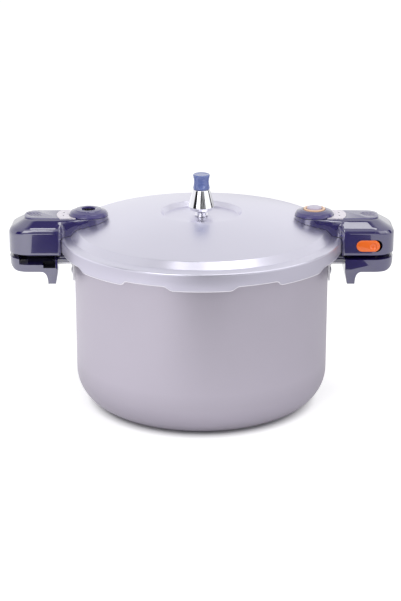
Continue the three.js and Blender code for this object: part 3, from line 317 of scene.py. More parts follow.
def freeze(piece):
    """Applies a piece's modifiers to its mesh."""
    graph = bpy.context.evaluated_depsgraph_get()
    graph.update()
    old = piece.data
    mesh = bpy.data.meshes.new_from_object(piece.evaluated_get(graph))
    piece.modifiers.clear()
    piece.data = mesh
    mesh.name = old.name
    return piece


def combined(piece, tools, operation):
    """Cuts or joins a piece with others, which are used up."""
    for tool in tools:
        modifier = piece.modifiers.new("join", "BOOLEAN")
        modifier.operation = operation
        modifier.solver = "EXACT"
        modifier.object = tool
        freeze(piece)
        bpy.data.objects.remove(tool)
    return piece


def cut(piece, *tools):
    return combined(piece, tools, "DIFFERENCE")


def join(piece, *tools):
    return combined(piece, tools, "UNION")


def common(piece, *tools):
    return combined(piece, tools, "INTERSECT")


def eased(piece, width, segments=3, angle=32):
    """Rounds the sharp edges of a piece."""
    bpy.context.view_layer.update()
    modifier = piece.modifiers.new("round", "BEVEL")
    modifier.width = width * MM
    modifier.segments = segments
    modifier.limit_method = "ANGLE"
    modifier.angle_limit = math.radians(angle)
    modifier.harden_normals = False
    return freeze(piece)


def smooth(piece, angle=35):
    piece.data.shade_smooth()
    piece.data.set_sharp_from_angle(angle=math.radians(angle))
    return piece


def moved(piece, x, y, z):
    for vertex in piece.data.vertices:
        vertex.co += Vector((x, y, z)) * MM
    return piece


def half_turn(piece):
    """Turns a finished mesh half round the pot's axis."""
    for vertex in piece.data.vertices:
        vertex.co.x = -vertex.co.x
        vertex.co.y = -vertex.co.y
    return piece


def twin(piece, name):
    return half_turn(placed(name, piece.data.copy()))


def dress(piece, body, node, slot, *materials):
    """Puts a fine piece in the place of its CAD node."""
    for material in materials:
        piece.data.materials.append(material)
    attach(piece, body)
    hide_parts(node)
    return piece


# Node helpers

class Graph:
    """Short calls for making nodes in one tree."""

    def __init__(self, tree):
        self.tree = tree

    def fill(self, node, inputs):
        """Links each input to a socket, or sets it to a plain value."""
        for key, value in inputs.items():
            if isinstance(value, bpy.types.NodeSocket):
                self.tree.links.new(value, node.inputs[key])
            else:
                node.inputs[key].default_value = value
        return node

    def add(self, kind, inputs=None, **settings):
        node = self.tree.nodes.new("ShaderNode" + kind)
        for name, value in settings.items():
            setattr(node, name, value)
        return self.fill(node, inputs or {})

    def group(self, tree, inputs):
        return self.add("Group", inputs, node_tree=tree).outputs

    def math(self, operation, first, second=0.0):
        return self.add("Math", {0: first, 1: second}, operation=operation).outputs[0]

    def mix(self, factor, first, second):
        return self.add("Mix", {0: factor, 6: first, 7: second}, data_type="RGBA").outputs[2]

    def mix_value(self, factor, first, second):
        return self.add("Mix", {0: factor, 2: first, 3: second}, data_type="FLOAT").outputs[0]

    def ramp(self, value, low, high):
        return self.add("MapRange", {0: value, 1: low, 2: high}).outputs[0]

    def about_zero(self, value, amount):
        """A value from 0 to 1, brought to lie about 0 and scaled."""
        return self.math("MULTIPLY", self.math("SUBTRACT", value, 0.5), amount)

    def place(self):
        """The three coordinates of the object itself, in metres."""
        return self.add("SeparateXYZ", {0: self.add("TexCoord").outputs["Object"]}).outputs

    def from_axis(self, place):
        square = self.math("ADD", self.math("POWER", place[0], 2.0), self.math("POWER", place[1], 2.0))
        return self.math("SQRT", square)

    def noise(self, scale, detail, roughness=0.5):
        place = self.add("TexCoord").outputs["Object"]
        return self.add("TexNoise", {"Vector": place, "Scale": scale, "Detail": detail,
                                     "Roughness": roughness}).outputs[0]

    def scaled(self, colour, factor):
        return self.add("VectorMath", {0: colour, "Scale": factor}, operation="SCALE").outputs[0]

    def relief(self, strength, depth, height):
        return self.add("Bump", {"Strength": strength, "Distance": depth, "Height": height}).outputs[0]

    def rays(self):
        """The Light Path's outputs, and 1 where a mirror or a look through glass sees the surface."""
        path = self.add("LightPath").outputs
        return path, self.math("MAXIMUM", path["Is Glossy Ray"], path["Is Transmission Ray"])


def new_group(name, inputs, outputs):
    tree = bpy.data.node_groups.new(name, "ShaderNodeTree")
    for label, kind, value in inputs:
        socket = tree.interface.new_socket(label, in_out="INPUT", socket_type="NodeSocket" + kind)
        socket.default_value = value
    for label, kind in outputs:
        tree.interface.new_socket(label, in_out="OUTPUT", socket_type="NodeSocket" + kind)
    entry = tree.nodes.new("NodeGroupInput")
    return Graph(tree), entry.outputs, tree.nodes.new("NodeGroupOutput")


def soft_tone_group():
    """Large, faint clouds of a lighter and a darker tone in a colour."""
    graph, given, result = new_group(
        "SoftTone",
        [("Color", "Color", (0.5, 0.5, 0.5, 1)), ("Amount", "Float", 0.05), ("Scale", "Float", 12.0)],
        [("Color", "Color")])
    change = graph.about_zero(graph.noise(given["Scale"], 3.0, 0.55), given["Amount"])
    bright = graph.math("ADD", graph.math("MULTIPLY", change, 4.0), 1.0)
    graph.fill(result, {"Color": graph.scaled(given["Color"], bright)})
    return graph.tree


def fine_grain_group():
    """Close grain for a roughness and a bump: the pores of an anodised or a moulded skin."""
    graph, given, result = new_group(
        "FineGrain",
        [("Scale", "Float", 1500.0), ("Roughness", "Float", 0.4), ("Spread", "Float", 0.1)],
        [("Roughness", "Float"), ("Height", "Float")])
    grain = graph.noise(given["Scale"], 2.0, 0.6)
    rough = graph.math("ADD", given["Roughness"], graph.about_zero(grain, given["Spread"]))
    graph.fill(result, {"Roughness": rough, "Height": grain})
    return graph.tree


def turning_marks_group():
    """Fine rings left by spinning and brushing a round piece about a vertical axis."""
    graph, given, result = new_group(
        "TurningMarks",
        [("Rings", "Float", 900.0), ("Contrast", "Float", 0.5)],
        [("Mask", "Float"), ("Height", "Float")])
    place = graph.place()
    along = graph.math("ADD", graph.from_axis(place), place[2])
    rings = graph.add("TexNoise", {"W": along, "Scale": given["Rings"], "Detail": 2.0},
                      noise_dimensions="1D").outputs[0]
    mask = graph.math("ADD", graph.about_zero(rings, given["Contrast"]), 0.5)
    graph.fill(result, {"Mask": mask, "Height": rings})
    return graph.tree


def edge_wear_group():
    """Lightens a colour along a piece's outer edges, where hands rub it."""
    graph, given, result = new_group(
        "EdgeWear",
        [("Color", "Color", (0.5, 0.5, 0.5, 1)), ("Worn Color", "Color", (0.7, 0.7, 0.7, 1)),
         ("Amount", "Float", 0.3)],
        [("Color", "Color")])
    edge = graph.ramp(graph.add("NewGeometry").outputs["Pointiness"], 0.53, 0.6)
    rubbed = graph.math("MULTIPLY", edge, graph.ramp(graph.noise(90.0, 4.0), 0.35, 0.65))
    worn = graph.math("MULTIPLY", rubbed, given["Amount"])
    graph.fill(result, {"Color": graph.mix(worn, given["Color"], given["Worn Color"])})
    return graph.tree


SOFT_TONE = soft_tone_group()
FINE_GRAIN = fine_grain_group()
TURNING_MARKS = turning_marks_group()
EDGE_WEAR = edge_wear_group()


def start_material(name):
    material = bpy.data.materials.new(name)
    material.use_nodes = True
    graph = Graph(material.node_tree)
    shader = material.node_tree.nodes["Principled BSDF"]
    return material, graph, shader


def linear(red, green, blue):
    """A colour as the photograph shows it, 0 to 255, in the renderer's linear values."""
    def one(value):
        share = value / 255
        return share / 12.92 if share <= 0.04045 else ((share + 0.055) / 1.055) ** 2.4
    return (one(red), one(green), one(blue), 1.0)


def metal(name, colour, roughness, rings=900.0, contrast=0.5, bump=0.00002, metallic=0.9):
    """A spun or brushed metal; the bump is its marks' height in metres."""
    material, graph, shader = start_material(name)
    tint = graph.group(SOFT_TONE, {"Color": colour, "Amount": 0.03, "Scale": 9.0})
    marks = graph.group(TURNING_MARKS, {"Rings": rings, "Contrast": contrast})
    pores = graph.group(FINE_GRAIN, {"Scale": 1400.0, "Roughness": roughness, "Spread": 0.16})
    rough = graph.math("ADD", pores["Roughness"], graph.about_zero(marks["Mask"], 0.2))
    height = graph.math("ADD", marks["Height"], graph.math("MULTIPLY", pores["Height"], 0.5))
    graph.fill(shader, {"Base Color": tint["Color"], "Roughness": rough, "Metallic": metallic,
                        "Normal": graph.relief(0.4, bump, height)})
    return material


def moulded(name, colour, roughness, worn, wear=0.25, coat=0.4, bump=0.00002, grain=700.0,
            coat_roughness=0.12, coat_ior=1.5, specular=0.5, spread=0.12):
    """A moulded plastic or rubber, rubbed lighter along its edges."""
    material, graph, shader = start_material(name)
    tint = graph.group(SOFT_TONE, {"Color": colour, "Amount": 0.04, "Scale": 30.0})
    edge = graph.group(EDGE_WEAR, {"Color": tint["Color"], "Worn Color": worn, "Amount": wear})
    skin = graph.group(FINE_GRAIN, {"Scale": grain, "Roughness": roughness, "Spread": spread})
    graph.fill(shader, {"Base Color": edge["Color"], "Roughness": skin["Roughness"], "IOR": 1.5,
                        "Normal": graph.relief(0.3, bump, skin["Height"]), "Coat Weight": coat,
                        "Coat Roughness": coat_roughness, "Coat IOR": coat_ior,
                        "Specular IOR Level": specular})
    return material


def pot_material():
    """Satin mauve-grey anodising with faint drawing rings, and painted shade that darkens its colour near the
    base.
    """
    material, graph, shader = start_material("pot_anodised")
    # painted shade: the colour blends to a darker mauve-grey over the lowest 5 cm
    band = graph.ramp(graph.place()[2], 0.0, 0.05)
    body = graph.mix(band, linear(160, 154, 167), linear(190, 184, 197))
    tint = graph.group(SOFT_TONE, {"Color": body, "Amount": 0.025, "Scale": 7.0})
    speck = graph.group(FINE_GRAIN, {"Scale": 1100.0, "Roughness": 0.44, "Spread": 0.3})
    marks = graph.group(TURNING_MARKS, {"Rings": 700.0, "Contrast": 0.6})
    bright = graph.math("ADD", 0.94, graph.math("MULTIPLY", speck["Height"], 0.12))
    height = graph.math("ADD", speck["Height"], graph.math("MULTIPLY", marks["Height"], 0.35))
    graph.fill(shader, {"Base Color": graph.scaled(tint["Color"], bright), "Roughness": speck["Roughness"],
                        "Metallic": 0.75, "Normal": graph.relief(0.5, 0.00004, height)})
    return material


def lid_material():
    """Satin spun aluminium, whose skirt is duller than the polished dome and carries painted shade that makes
    it darker.
    """
    material, graph, shader = start_material("lid_anodised")
    dome = graph.ramp(graph.place()[2], (LEDGE_HEIGHT - 2.6) * MM, (LEDGE_HEIGHT - 0.8) * MM)
    # painted shade: the skirt, below the ledge, is given a darker grey than the dome
    body = graph.mix(dome, linear(202, 199, 214), linear(227, 225, 240))
    tint = graph.group(SOFT_TONE, {"Color": body, "Amount": 0.015, "Scale": 7.0})
    marks = graph.group(TURNING_MARKS, {"Rings": 600.0, "Contrast": 0.35})
    pores = graph.group(FINE_GRAIN, {"Scale": 1400.0, "Roughness": 0.3, "Spread": 0.1})
    rough = graph.math("ADD", pores["Roughness"], graph.mix_value(dome, 0.18, 0.0))
    height = graph.math("ADD", marks["Height"], graph.math("MULTIPLY", pores["Height"], 0.5))
    graph.fill(shader, {"Base Color": tint["Color"], "Roughness": rough, "Metallic": 0.9,
                        "Normal": graph.relief(0.4, 0.00001, height)})
    return material


POT = pot_material()
POT_INSIDE = metal("pot_inside", linear(196, 194, 200), 0.36, contrast=0.7)
LID = lid_material()
# painted highlight: a near-white, partly metallic finish for the skirt's lower edge
LID_EDGE_HIGHLIGHT = metal("lid_edge_painted_highlight", linear(250, 248, 255), 0.4, metallic=0.3)
LID_INSIDE = metal("lid_inside", linear(190, 189, 196), 0.4, contrast=0.7)
STEEL = metal("pressed_steel", linear(232, 231, 236), 0.34, rings=500.0, contrast=0.4, metallic=0.8)
FASTENER = metal("turned_steel", linear(222, 222, 227), 0.3)
BRASS = metal("turned_brass", linear(205, 172, 104), 0.28, metallic=1.0)
CHROME = metal("polished_chrome", linear(240, 240, 246), 0.07, rings=1500.0, contrast=0.2, bump=0.000004,
               metallic=1.0)
NAVY = moulded("navy_moulding", linear(40, 30, 98), 0.1, linear(100, 94, 150), wear=0.1, coat=1.0,
               bump=0.000004, coat_roughness=0.02, coat_ior=1.9, specular=1.0, spread=0.05)
# a dark moulding for the handle cover, and painted shade on the pockets, the lock slot and the steam outlet's
# grille
DARK_AND_SHADE = moulded("dark_moulding_and_painted_shade", linear(20, 18, 34), 0.5, linear(60, 58, 80), coat=0.0)
PANEL = moulded("navy_panel", linear(56, 46, 116), 0.22, linear(140, 135, 176), wear=0.15, coat=1.0,
                bump=0.000008, coat_roughness=0.1, coat_ior=1.55, specular=0.6)
# painted highlight: a pale lilac for the grooves' walls in the scoop, standing in for their shine
RIB_HIGHLIGHT = moulded("rib_painted_highlight", linear(176, 170, 196), 0.25, linear(220, 216, 232), coat=0.6)
KNOB = moulded("knob_moulding", linear(104, 120, 182), 0.25, linear(170, 184, 220), coat=0.8)
ORANGE = moulded("orange_moulding", linear(255, 112, 8), 0.25, linear(255, 170, 100), coat=1.0,
                 coat_roughness=0.05)
# painted shade: a darker red copy of the orange moulding for the slide's sides
ORANGE_SIDE_SHADE = moulded("orange_side_painted_shade", linear(150, 30, 12), 0.4, linear(190, 60, 30), coat=0.1)
PEACH = moulded("peach_moulding", linear(250, 206, 168), 0.3, linear(255, 230, 208), coat=0.4)
LILAC = moulded("lilac_moulding", linear(206, 198, 220), 0.3, linear(235, 230, 240), coat=0.3)
LABEL = metal("label_foil", linear(244, 238, 248), 0.34, rings=1200.0, contrast=0.3, metallic=0.3)
DOT = moulded("label_dot", linear(52, 48, 70), 0.4, linear(90, 86, 110), wear=0.0)
RUBBER = moulded("silicone", linear(140, 140, 146), 0.7, linear(170, 170, 176), coat=0.0, grain=300.0)


# Outlines and plain solids

def shifted(points, distance):
    """Moves a profile sideways, to the right of the way that it runs."""
    sides = []
    for (x0, z0), (x1, z1) in zip(points, points[1:]):
        run = Vector((x1 - x0, z1 - z0)).normalized()
        sides.append(Vector((run.y, -run.x)))
    result = []
    for i, (x, z) in enumerate(points):
        before = sides[max(i - 1, 0)]
        after = sides[min(i, len(sides) - 1)]
        reach = distance / (1 + before.dot(after))
        result.append((x + (before.x + after.x) * reach, z + (before.y + after.y) * reach))
    return result


def circle(radius, steps=64, centre=(0, 0)):
    return arc(centre, radius, 0, 360, steps)[:-1]


def rod(radius, low, high, centre=(0, 0), axis="Z", steps=64):
    return slab("tool", circle(radius, steps, centre), low, high, axis)


def box(left, right, front, back, low, high):
    return slab("tool", [(left, front), (right, front), (right, back), (left, back)], low, high)


def sector(inner, outer, start, end, low, high, steps=12, name="tool"):
    """A piece of a flat ring between two angles, which count from +X towards +Y."""
    outline = arc((0, 0), outer, start, end, steps) + arc((0, 0), inner, end, start, steps)
    return slab(name, outline, low, high)


def plan(start, reach, half, corner, steps=20):
    """A handle seen from above: square at its start, with two round corners at its outer end."""
    return ([(start, -half)] + arc((reach - corner, corner - half), corner, -90, 0, steps)
            + arc((reach - corner, half - corner), corner, 0, 90, steps) + [(start, half)])


def stadium(left, length, low, height, steps=20):
    radius = height / 2
    middle = low + radius
    return (arc((left + length - radius, middle), radius, -90, 90, steps)
            + arc((left + radius, middle), radius, 90, 270, steps))


def at_height(points, height):
    """A profile's first value at a height, from points that climb."""
    for (u0, z0), (u1, z1) in zip(points, points[1:]):
        if z0 <= height <= z1 and z1 > z0:
            return u0 + (u1 - u0) * (height - z0) / (z1 - z0)
    return points[-1][0] if height >= points[-1][1] else points[0][0]


def mark(piece, index, test):
    """Gives a second material to the faces that a test picks by their middle, in millimetres."""
    for face in piece.data.polygons:
        if test(face.center / MM, face.normal):
            face.material_index = index
    return piece


# Pot

def make_pot():
    corner = POT_RADIUS - POT_CORNER
    underside = POT_HEIGHT - RIM_THICKNESS
    inside = POT_RADIUS - POT_SHEET
    outer = arc((corner, POT_CORNER), POT_CORNER, -90, 0, POT_CORNER_STEPS)
    inner = arc((corner, POT_CORNER), POT_CORNER - POT_SHEET, 0, -90, POT_CORNER_STEPS)
    rim = rounded([(POT_RADIUS, underside - RIM_RUN), (POT_RADIUS, underside), (RIM_RADIUS, underside),
                   (RIM_RADIUS, POT_HEIGHT), (inside, POT_HEIGHT), (inside, underside)],
                  [0, *RIM_ROUNDS, 0])
    profile = ([(0, 0)] + outer + [(POT_RADIUS, WALL_MIDDLE)] + rim + [(inside, WALL_MIDDLE)] + inner
               + [(0, POT_SHEET)])
    pot = turned("pot_body_fine", profile, steps=POT_STEPS)
    lugs = [sector(POT_RADIUS + 1, LUG_RADIUS, angle - 90 - LUG_HALF_ANGLE, angle - 90 + LUG_HALF_ANGLE,
                   underside + FACE_INSET, POT_HEIGHT - FACE_INSET) for angle in LUG_ANGLES]
    join(pot, *[eased(lug, LUG_ROUND) for lug in lugs])
    near, far = WALL_CUT
    holes = [rod(RIVET_RADIUS + GAP, side * near, side * far, (y, RIVET_HEIGHT), "X", FINE_HOLE_STEPS)
             for side in (-1, 1) for y in (-RIVET_SPREAD, RIVET_SPREAD)]
    cut(pot, *holes)

    def is_inside(middle, normal):
        """Whether a face is nearer the pot's corner centre, or its axis, than half way through the sheet."""
        outward = max(math.hypot(middle.x, middle.y) - corner, 0)
        downward = max(POT_CORNER - middle.z, 0)
        return math.hypot(outward, downward) < POT_CORNER - POT_SHEET / 2

    mark(pot, 1, is_inside)
    smooth(pot)
    return dress(pot, "pot", "pot_body", "pot_aluminium", POT, POT_INSIDE)


def make_bracket():
    """A steel angle whose flange follows the pot and whose tongue carries the pot handle."""
    inner = POT_RADIUS + GAP
    outer = inner + BRACKET_SHEET
    underside = TONGUE_TOP - BRACKET_SHEET
    bend, overlap, inset = 2.0, 0.5, 0.2
    half_angle = math.degrees(math.asin(BRACKET_HALF_WIDTH / outer))
    flange = sector(inner, outer, -half_angle, half_angle, BRACKET_BOTTOM, TONGUE_TOP, 10, "bracket_fine")
    tongue = box(inner - bend, TONGUE_REACH, -BRACKET_HALF_WIDTH, BRACKET_HALF_WIDTH, underside, TONGUE_TOP)
    cut(tongue, rod(inner + overlap, *POT_CUT, steps=POT_STEPS))
    join(flange, tongue)
    fillet = ([(outer - overlap, underside + overlap)]
              + arc((outer + bend, underside - bend), bend, 90, 180, 8)
              + [(outer - overlap, underside - bend)])
    join(flange, slab("tool", fillet, -BRACKET_HALF_WIDTH + inset, BRACKET_HALF_WIDTH - inset, "Y"))
    holes = [rod(RIVET_RADIUS + GAP, *WALL_CUT, (y, RIVET_HEIGHT), "X", FINE_HOLE_STEPS)
             for y in (-RIVET_SPREAD, RIVET_SPREAD)]
    cut(flange, rod(SCREW_BORE, *POT_CUT, SCREW_PLACE, steps=FINE_HOLE_STEPS), *holes)
    return smooth(flange, 30)


def make_rivet(side):
    """A domed head outside and inside the pot wall, on one shank."""
    edge = RIVET_SPREAD + RIVET_HEAD
    inside = math.sqrt((POT_RADIUS - POT_SHEET) ** 2 - edge ** 2) - GAP
    outside = POT_RADIUS + BRACKET_SHEET + 2 * GAP
    dome = [(RIVET_HEAD * math.cos(math.radians(a)), RIVET_HEAD_HEIGHT * math.sin(math.radians(a)))
            for a in range(0, 91, 10)]
    profile = ([(r, inside - h) for r, h in reversed(dome)] + [(RIVET_HEAD, inside), (RIVET_RADIUS, inside),
               (RIVET_RADIUS, outside), (RIVET_HEAD, outside)] + [(r, outside + h) for r, h in dome])
    rivet = turned("rivet_fine", profile, 40)
    for vertex in rivet.data.vertices:
        x, y, z = vertex.co
        vertex.co = (z, y + side * RIVET_SPREAD * MM, RIVET_HEIGHT * MM - x)
    return smooth(rivet)


# Pot handles

def pot_handle_side():
    """The pot handle seen from the front: a finger leg, hollow curves and a flat top."""
    side = [(POT_HANDLE_START, POT_HANDLE_TOP), (POT_HANDLE_START, POT_HANDLE_BOTTOM),
            (POT_HANDLE_START + LEG_LEAN, POT_HANDLE_BOTTOM - LEG_DEPTH)]
    leg_steps, end_steps = 12, 14
    for i in range(leg_steps + 1):
        t = i / leg_steps
        side.append((LEG_OUTER + LEG_FILLET * t * t, POT_HANDLE_BOTTOM - LEG_DEPTH * (1 - t) ** 2))
    for i in range(end_steps + 1):
        t = i / end_steps
        side.append((POT_HANDLE_REACH - END_RUN * (1 - t) ** 2, POT_HANDLE_BOTTOM + END_RISE * t * t))
    side.append((POT_HANDLE_REACH, POT_HANDLE_TOP))
    return side


def make_pot_handle():
    handle = slab("pot_handle_fine", pot_handle_side(), -HANDLE_HALF_WIDTH, HANDLE_HALF_WIDTH, "Y")
    outline = plan(POT_CUT[0], POT_HANDLE_REACH, HANDLE_HALF_WIDTH + 0.1 * APART, HANDLE_CORNER)
    common(handle, slab("tool", outline, *POT_CUT))
    eased(handle, POT_HANDLE_ROUND, 4, 38)
    extension = box(INNER_REACH, POT_HANDLE_START + OVERRUN, -EXTENSION_HALF_WIDTH, EXTENSION_HALF_WIDTH,
                    EXTENSION_BOTTOM, POT_HANDLE_TOP - 2 * APART)
    join(handle, eased(extension, EXTENSION_ROUND))
    cut(handle, rod(POT_RADIUS + GAP, *POT_CUT, steps=POT_STEPS))
    cut(handle, box(INNER_REACH, TONGUE_REACH + GAP, -BRACKET_HALF_WIDTH - GAP, BRACKET_HALF_WIDTH + GAP,
                    TONGUE_TOP - BRACKET_SHEET - GAP, EXTENSION_BOTTOM + APART))
    above = POT_HANDLE_TOP + OVERRUN
    shallow = POT_HANDLE_TOP - POCKET_DEPTH
    stop = STOP_ANGLE - math.degrees(GAP / STOP_RADIUS)
    cut(handle, sector(POCKET_START, POCKET_END, stop, POCKET_OPEN_ANGLE, shallow, above, 24))
    cut(handle, sector(POCKET_START + APART, DEEP_POCKET_END, DEEP_POCKET_ANGLE, POCKET_OPEN_ANGLE + APART,
                       POT_HANDLE_TOP - DEEP_POCKET_DEPTH, above, 18))
    cut(handle, box(POCKET_START + 2 * APART, BLADE_RECESS_END, -BLADE_RECESS_HALF, BLADE_RECESS_HALF,
                    shallow, above))
    head_top = POT_HANDLE_BOTTOM + SCREW_HEAD_DEPTH
    cut(handle, rod(SCREW_BORE, INNER_REACH, POT_HANDLE_TOP - 2.5, SCREW_PLACE, steps=FINE_HOLE_STEPS))
    cut(handle, rod(SCREW_HEAD_BORE, INNER_REACH, head_top, SCREW_PLACE, steps=48))

    def in_pocket_shade(middle, normal):
        """The pockets' walls and the deep one's floor, but not the outer end's own faces; they get the dark
        moulding as painted shade.
        """
        margin = 0.5
        radius = math.hypot(middle.x, middle.y)
        outward = (middle.x * normal.x + middle.y * normal.y) / radius
        deep = middle.z < shallow - margin or normal.z < 0.5
        level = POT_HANDLE_TOP - DEEP_POCKET_DEPTH - 0.2 < middle.z < POT_HANDLE_TOP - 0.1
        between = POCKET_START - margin < radius < BLADE_RECESS_END + 0.6
        return (deep and level and between and abs(middle.y) < HANDLE_HALF_WIDTH - GAP
                and (radius < 170 or outward < 0.3))

    # painted shade: the pockets' walls and floor are drawn near-black
    mark(handle, 1, in_pocket_shade)
    return smooth(handle, 28)


# Lid

def edge_rise(angle):
    """How far the skirt's edge stands above the tabs' at an angle from the front."""
    near = angle % 180
    near = min(near, 180 - near)
    places = FRONT_TAB + SIDE_TAB_START + SIDE_TAB_END
    shares = (0, 1, 1, 0, 0, 1)
    if near <= places[0]:
        return 0
    for i in range(len(places) - 1):
        if near <= places[i + 1]:
            t = (near - places[i]) / (places[i + 1] - places[i])
            t = t * t * (3 - 2 * t)
            return TAB_DEPTH * (shares[i] + (shares[i + 1] - shares[i]) * t)
    return TAB_DEPTH


def dome_height(radius):
    drop = (CROWN_RADIUS ** 2 - RECESS_RADIUS ** 2 - DOME_RISE ** 2) / (2 * DOME_RISE)
    sphere = math.hypot(RECESS_RADIUS, drop + DOME_RISE)
    return CROWN_HEIGHT - drop + math.sqrt(sphere ** 2 - radius ** 2)


def lid_corners(start):
    """The lid's outer profile from a start radius to the skirt, and the roundings of its corners."""
    dome = [RECESS_RADIUS + (CROWN_RADIUS - RECESS_RADIUS) * i / DOME_STEPS for i in range(1, DOME_STEPS)]
    points = ([(start, FLOOR_HEIGHT), (RECESS_FLOOR_RADIUS, FLOOR_HEIGHT), (RECESS_RADIUS, RECESS_RIM_HEIGHT)]
              + [(radius, dome_height(radius)) for radius in dome]
              + [(CROWN_RADIUS, CROWN_HEIGHT), (GROOVE_RADIUS, GROOVE_HEIGHT), (LID_RADIUS, LEDGE_HEIGHT),
                 (LID_RADIUS, TAB_BOTTOM + TAB_DEPTH + SKIRT_RUN)])
    return points, [0, *RECESS_ROUNDS] + [0] * (DOME_STEPS - 1) + [*LEDGE_ROUNDS, 0]


def make_lid():
    points, radii = lid_corners(VENT_BORE)
    under_radii = [0, *RECESS_UNDER_ROUNDS] + [0] * (DOME_STEPS - 1) + [*LEDGE_UNDER_ROUNDS, 0]
    outer = rounded(points, radii)
    inner = rounded(shifted(points, LID_SHEET), under_radii)

    def profile(angle):
        low = TAB_BOTTOM + edge_rise(angle)
        skin = [(LID_RADIUS, low + 1.0), (LID_RADIUS - 0.3, low + 0.4), (LID_RADIUS - 0.8, low),
                (LID_RADIUS - LID_SHEET + 0.3, low), (LID_RADIUS - LID_SHEET, low + 0.3)]
        return outer + skin + list(reversed(inner))

    lid = turned_grid("lid_shell_fine", profile, 360, True)
    lips = [sector(LIP_INNER_RADIUS, LIP_OUTER_RADIUS, angle - 90 - LUG_HALF_ANGLE,
                   angle - 90 + LUG_HALF_ANGLE, TAB_BOTTOM + FACE_INSET, TAB_BOTTOM + LIP_THICKNESS)
            for angle in LUG_ANGLES]
    places = [(-BOSS_CENTRE, 0), (BOSS_CENTRE, 0)]
    pad_height = dome_height(BOSS_CENTRE)
    pads = [rod(PAD_RADIUS, pad_height - 4, pad_height + PAD_RISE, place) for place in places]
    join(lid, *[eased(lip, LIP_ROUND) for lip in lips], *pads)
    cut(lid, *[rod(VALVE_BORE, *LID_CUT, place) for place in places])
    cut(lid, *[rod(SCREW_BORE, *LID_CUT, (side * LID_SCREW_REACH, y), steps=24)
               for side in (-1, 1) for y in (-LID_SCREW_SPREAD, LID_SCREW_SPREAD)])
    wall = LID_RADIUS - LID_SHEET

    def is_inside(middle, normal):
        radius = math.hypot(middle.x, middle.y)
        inward = middle.x * normal.x + middle.y * normal.y < -0.5 * radius
        return normal.z < -0.02 or RIM_RADIUS + 3 < radius < wall + 0.05 and inward

    def is_edge_highlight(middle, normal):
        below = middle.z < TAB_BOTTOM + TAB_DEPTH + 1.1
        return below and math.hypot(middle.x, middle.y) > wall - 0.1 and normal.z < -0.2

    mark(lid, 2, is_inside)
    # painted highlight: the rounding along the skirt's lower edge gets the near-white edge finish
    mark(lid, 1, is_edge_highlight)
    smooth(lid)
    return dress(lid, "lid", "lid_shell", "lid_aluminium", LID, LID_EDGE_HIGHLIGHT, LID_INSIDE)


def lid_form():
    """The lid's top, a gap higher and filled below, to cut the handles' bosses to it."""
    low = POT_CUT[0]
    points, radii = lid_corners(GAP)
    points[-1] = (LID_RADIUS, low)
    raised = rounded(shifted(points, -GAP), radii)
    profile = [(0, low)] + list(reversed(raised)) + [(0, FLOOR_HEIGHT + GAP)]
    return turned("tool", profile, steps=240)


# Lid handles

END_SHAPE_BEND = 187.0
FOOT_EDGE = 0.8
TOP_CORNER = 12.0
SIDE_SHAPE = rounded([(HANDLE_HALF_WIDTH - FOOT_EDGE, LID_HANDLE_BOTTOM),
                      (HANDLE_HALF_WIDTH, LID_HANDLE_BOTTOM + FOOT_EDGE), (HANDLE_HALF_WIDTH, 191.8),
                      (19, LID_HANDLE_TOP), (10, LID_HANDLE_TOP)], [0, 0.6, 8, 9, 0], steps=10)
END_SHAPE = rounded([(HANDLE_REACH - FOOT_EDGE, LID_HANDLE_BOTTOM),
                     (HANDLE_REACH, LID_HANDLE_BOTTOM + FOOT_EDGE), (HANDLE_REACH, END_SHAPE_BEND),
                     (197.6, 191), (182, LID_HANDLE_TOP), (160, LID_HANDLE_TOP)],
                    [0, 0.6, 8, 12, 14, 0], steps=10)


def lid_handle_ring(height):
    """The lid handle's outline at a height: a round boss, a neck and a block with round corners."""
    half = at_height(SIDE_SHAPE, height)
    reach = at_height(END_SHAPE, height)
    neck = min(NECK_HALF_WIDTH, half)
    spare = half - neck
    fillet = min(NECK_FILLET, 0.56 * spare)
    edge = min(SHOULDER_RADIUS, 0.39 * spare)
    run = BLOCK_START - NECK_FILLET - BOSS_CENTRE
    climb = max(0, (height - END_SHAPE_BEND) / (LID_HANDLE_TOP - END_SHAPE_BEND))
    corner = HANDLE_CORNER + (TOP_CORNER - HANDLE_CORNER) * climb ** 2
    radius = BOSS_RADIUS - max(0, height - LID_HANDLE_TOP + 0.5) ** 2
    front = arc(BOSS, radius, 180, 270, 24)
    front += [(BOSS_CENTRE + run * i / 3, -radius - (neck - radius) * i / 3) for i in range(1, 3)]
    front += arc((BLOCK_START - fillet, -neck - fillet), fillet, 90, 0, 8)
    front += arc((BLOCK_START + edge, -half + edge), edge, 180, 270, 5)
    flat = BLOCK_START + SHOULDER_RADIUS
    front += [(flat + (reach - corner - flat) * i / 6, -half) for i in range(1, 6)]
    front += arc((reach - corner, corner - half), corner, -90, 0, 20)
    back = [(x, -y) for x, y in reversed(front[1:])]
    return [(x, y, height) for x, y in front + back]


def lid_handle_levels():
    heights = {round(z, 3) for _, z in SIDE_SHAPE + END_SHAPE if z <= LID_HANDLE_TOP}
    heights |= {LID_HANDLE_BOTTOM + 4 * i for i in range(1, 7)}
    heights |= {LID_HANDLE_TOP - 0.4, LID_HANDLE_TOP - 0.2, LID_HANDLE_TOP}
    return sorted(heights)


def inlay_plan(border):
    return plan(BOSS_CENTRE, INLAY_END + border, INLAY_HALF_WIDTH + border, INLAY_CORNER + border, 16)


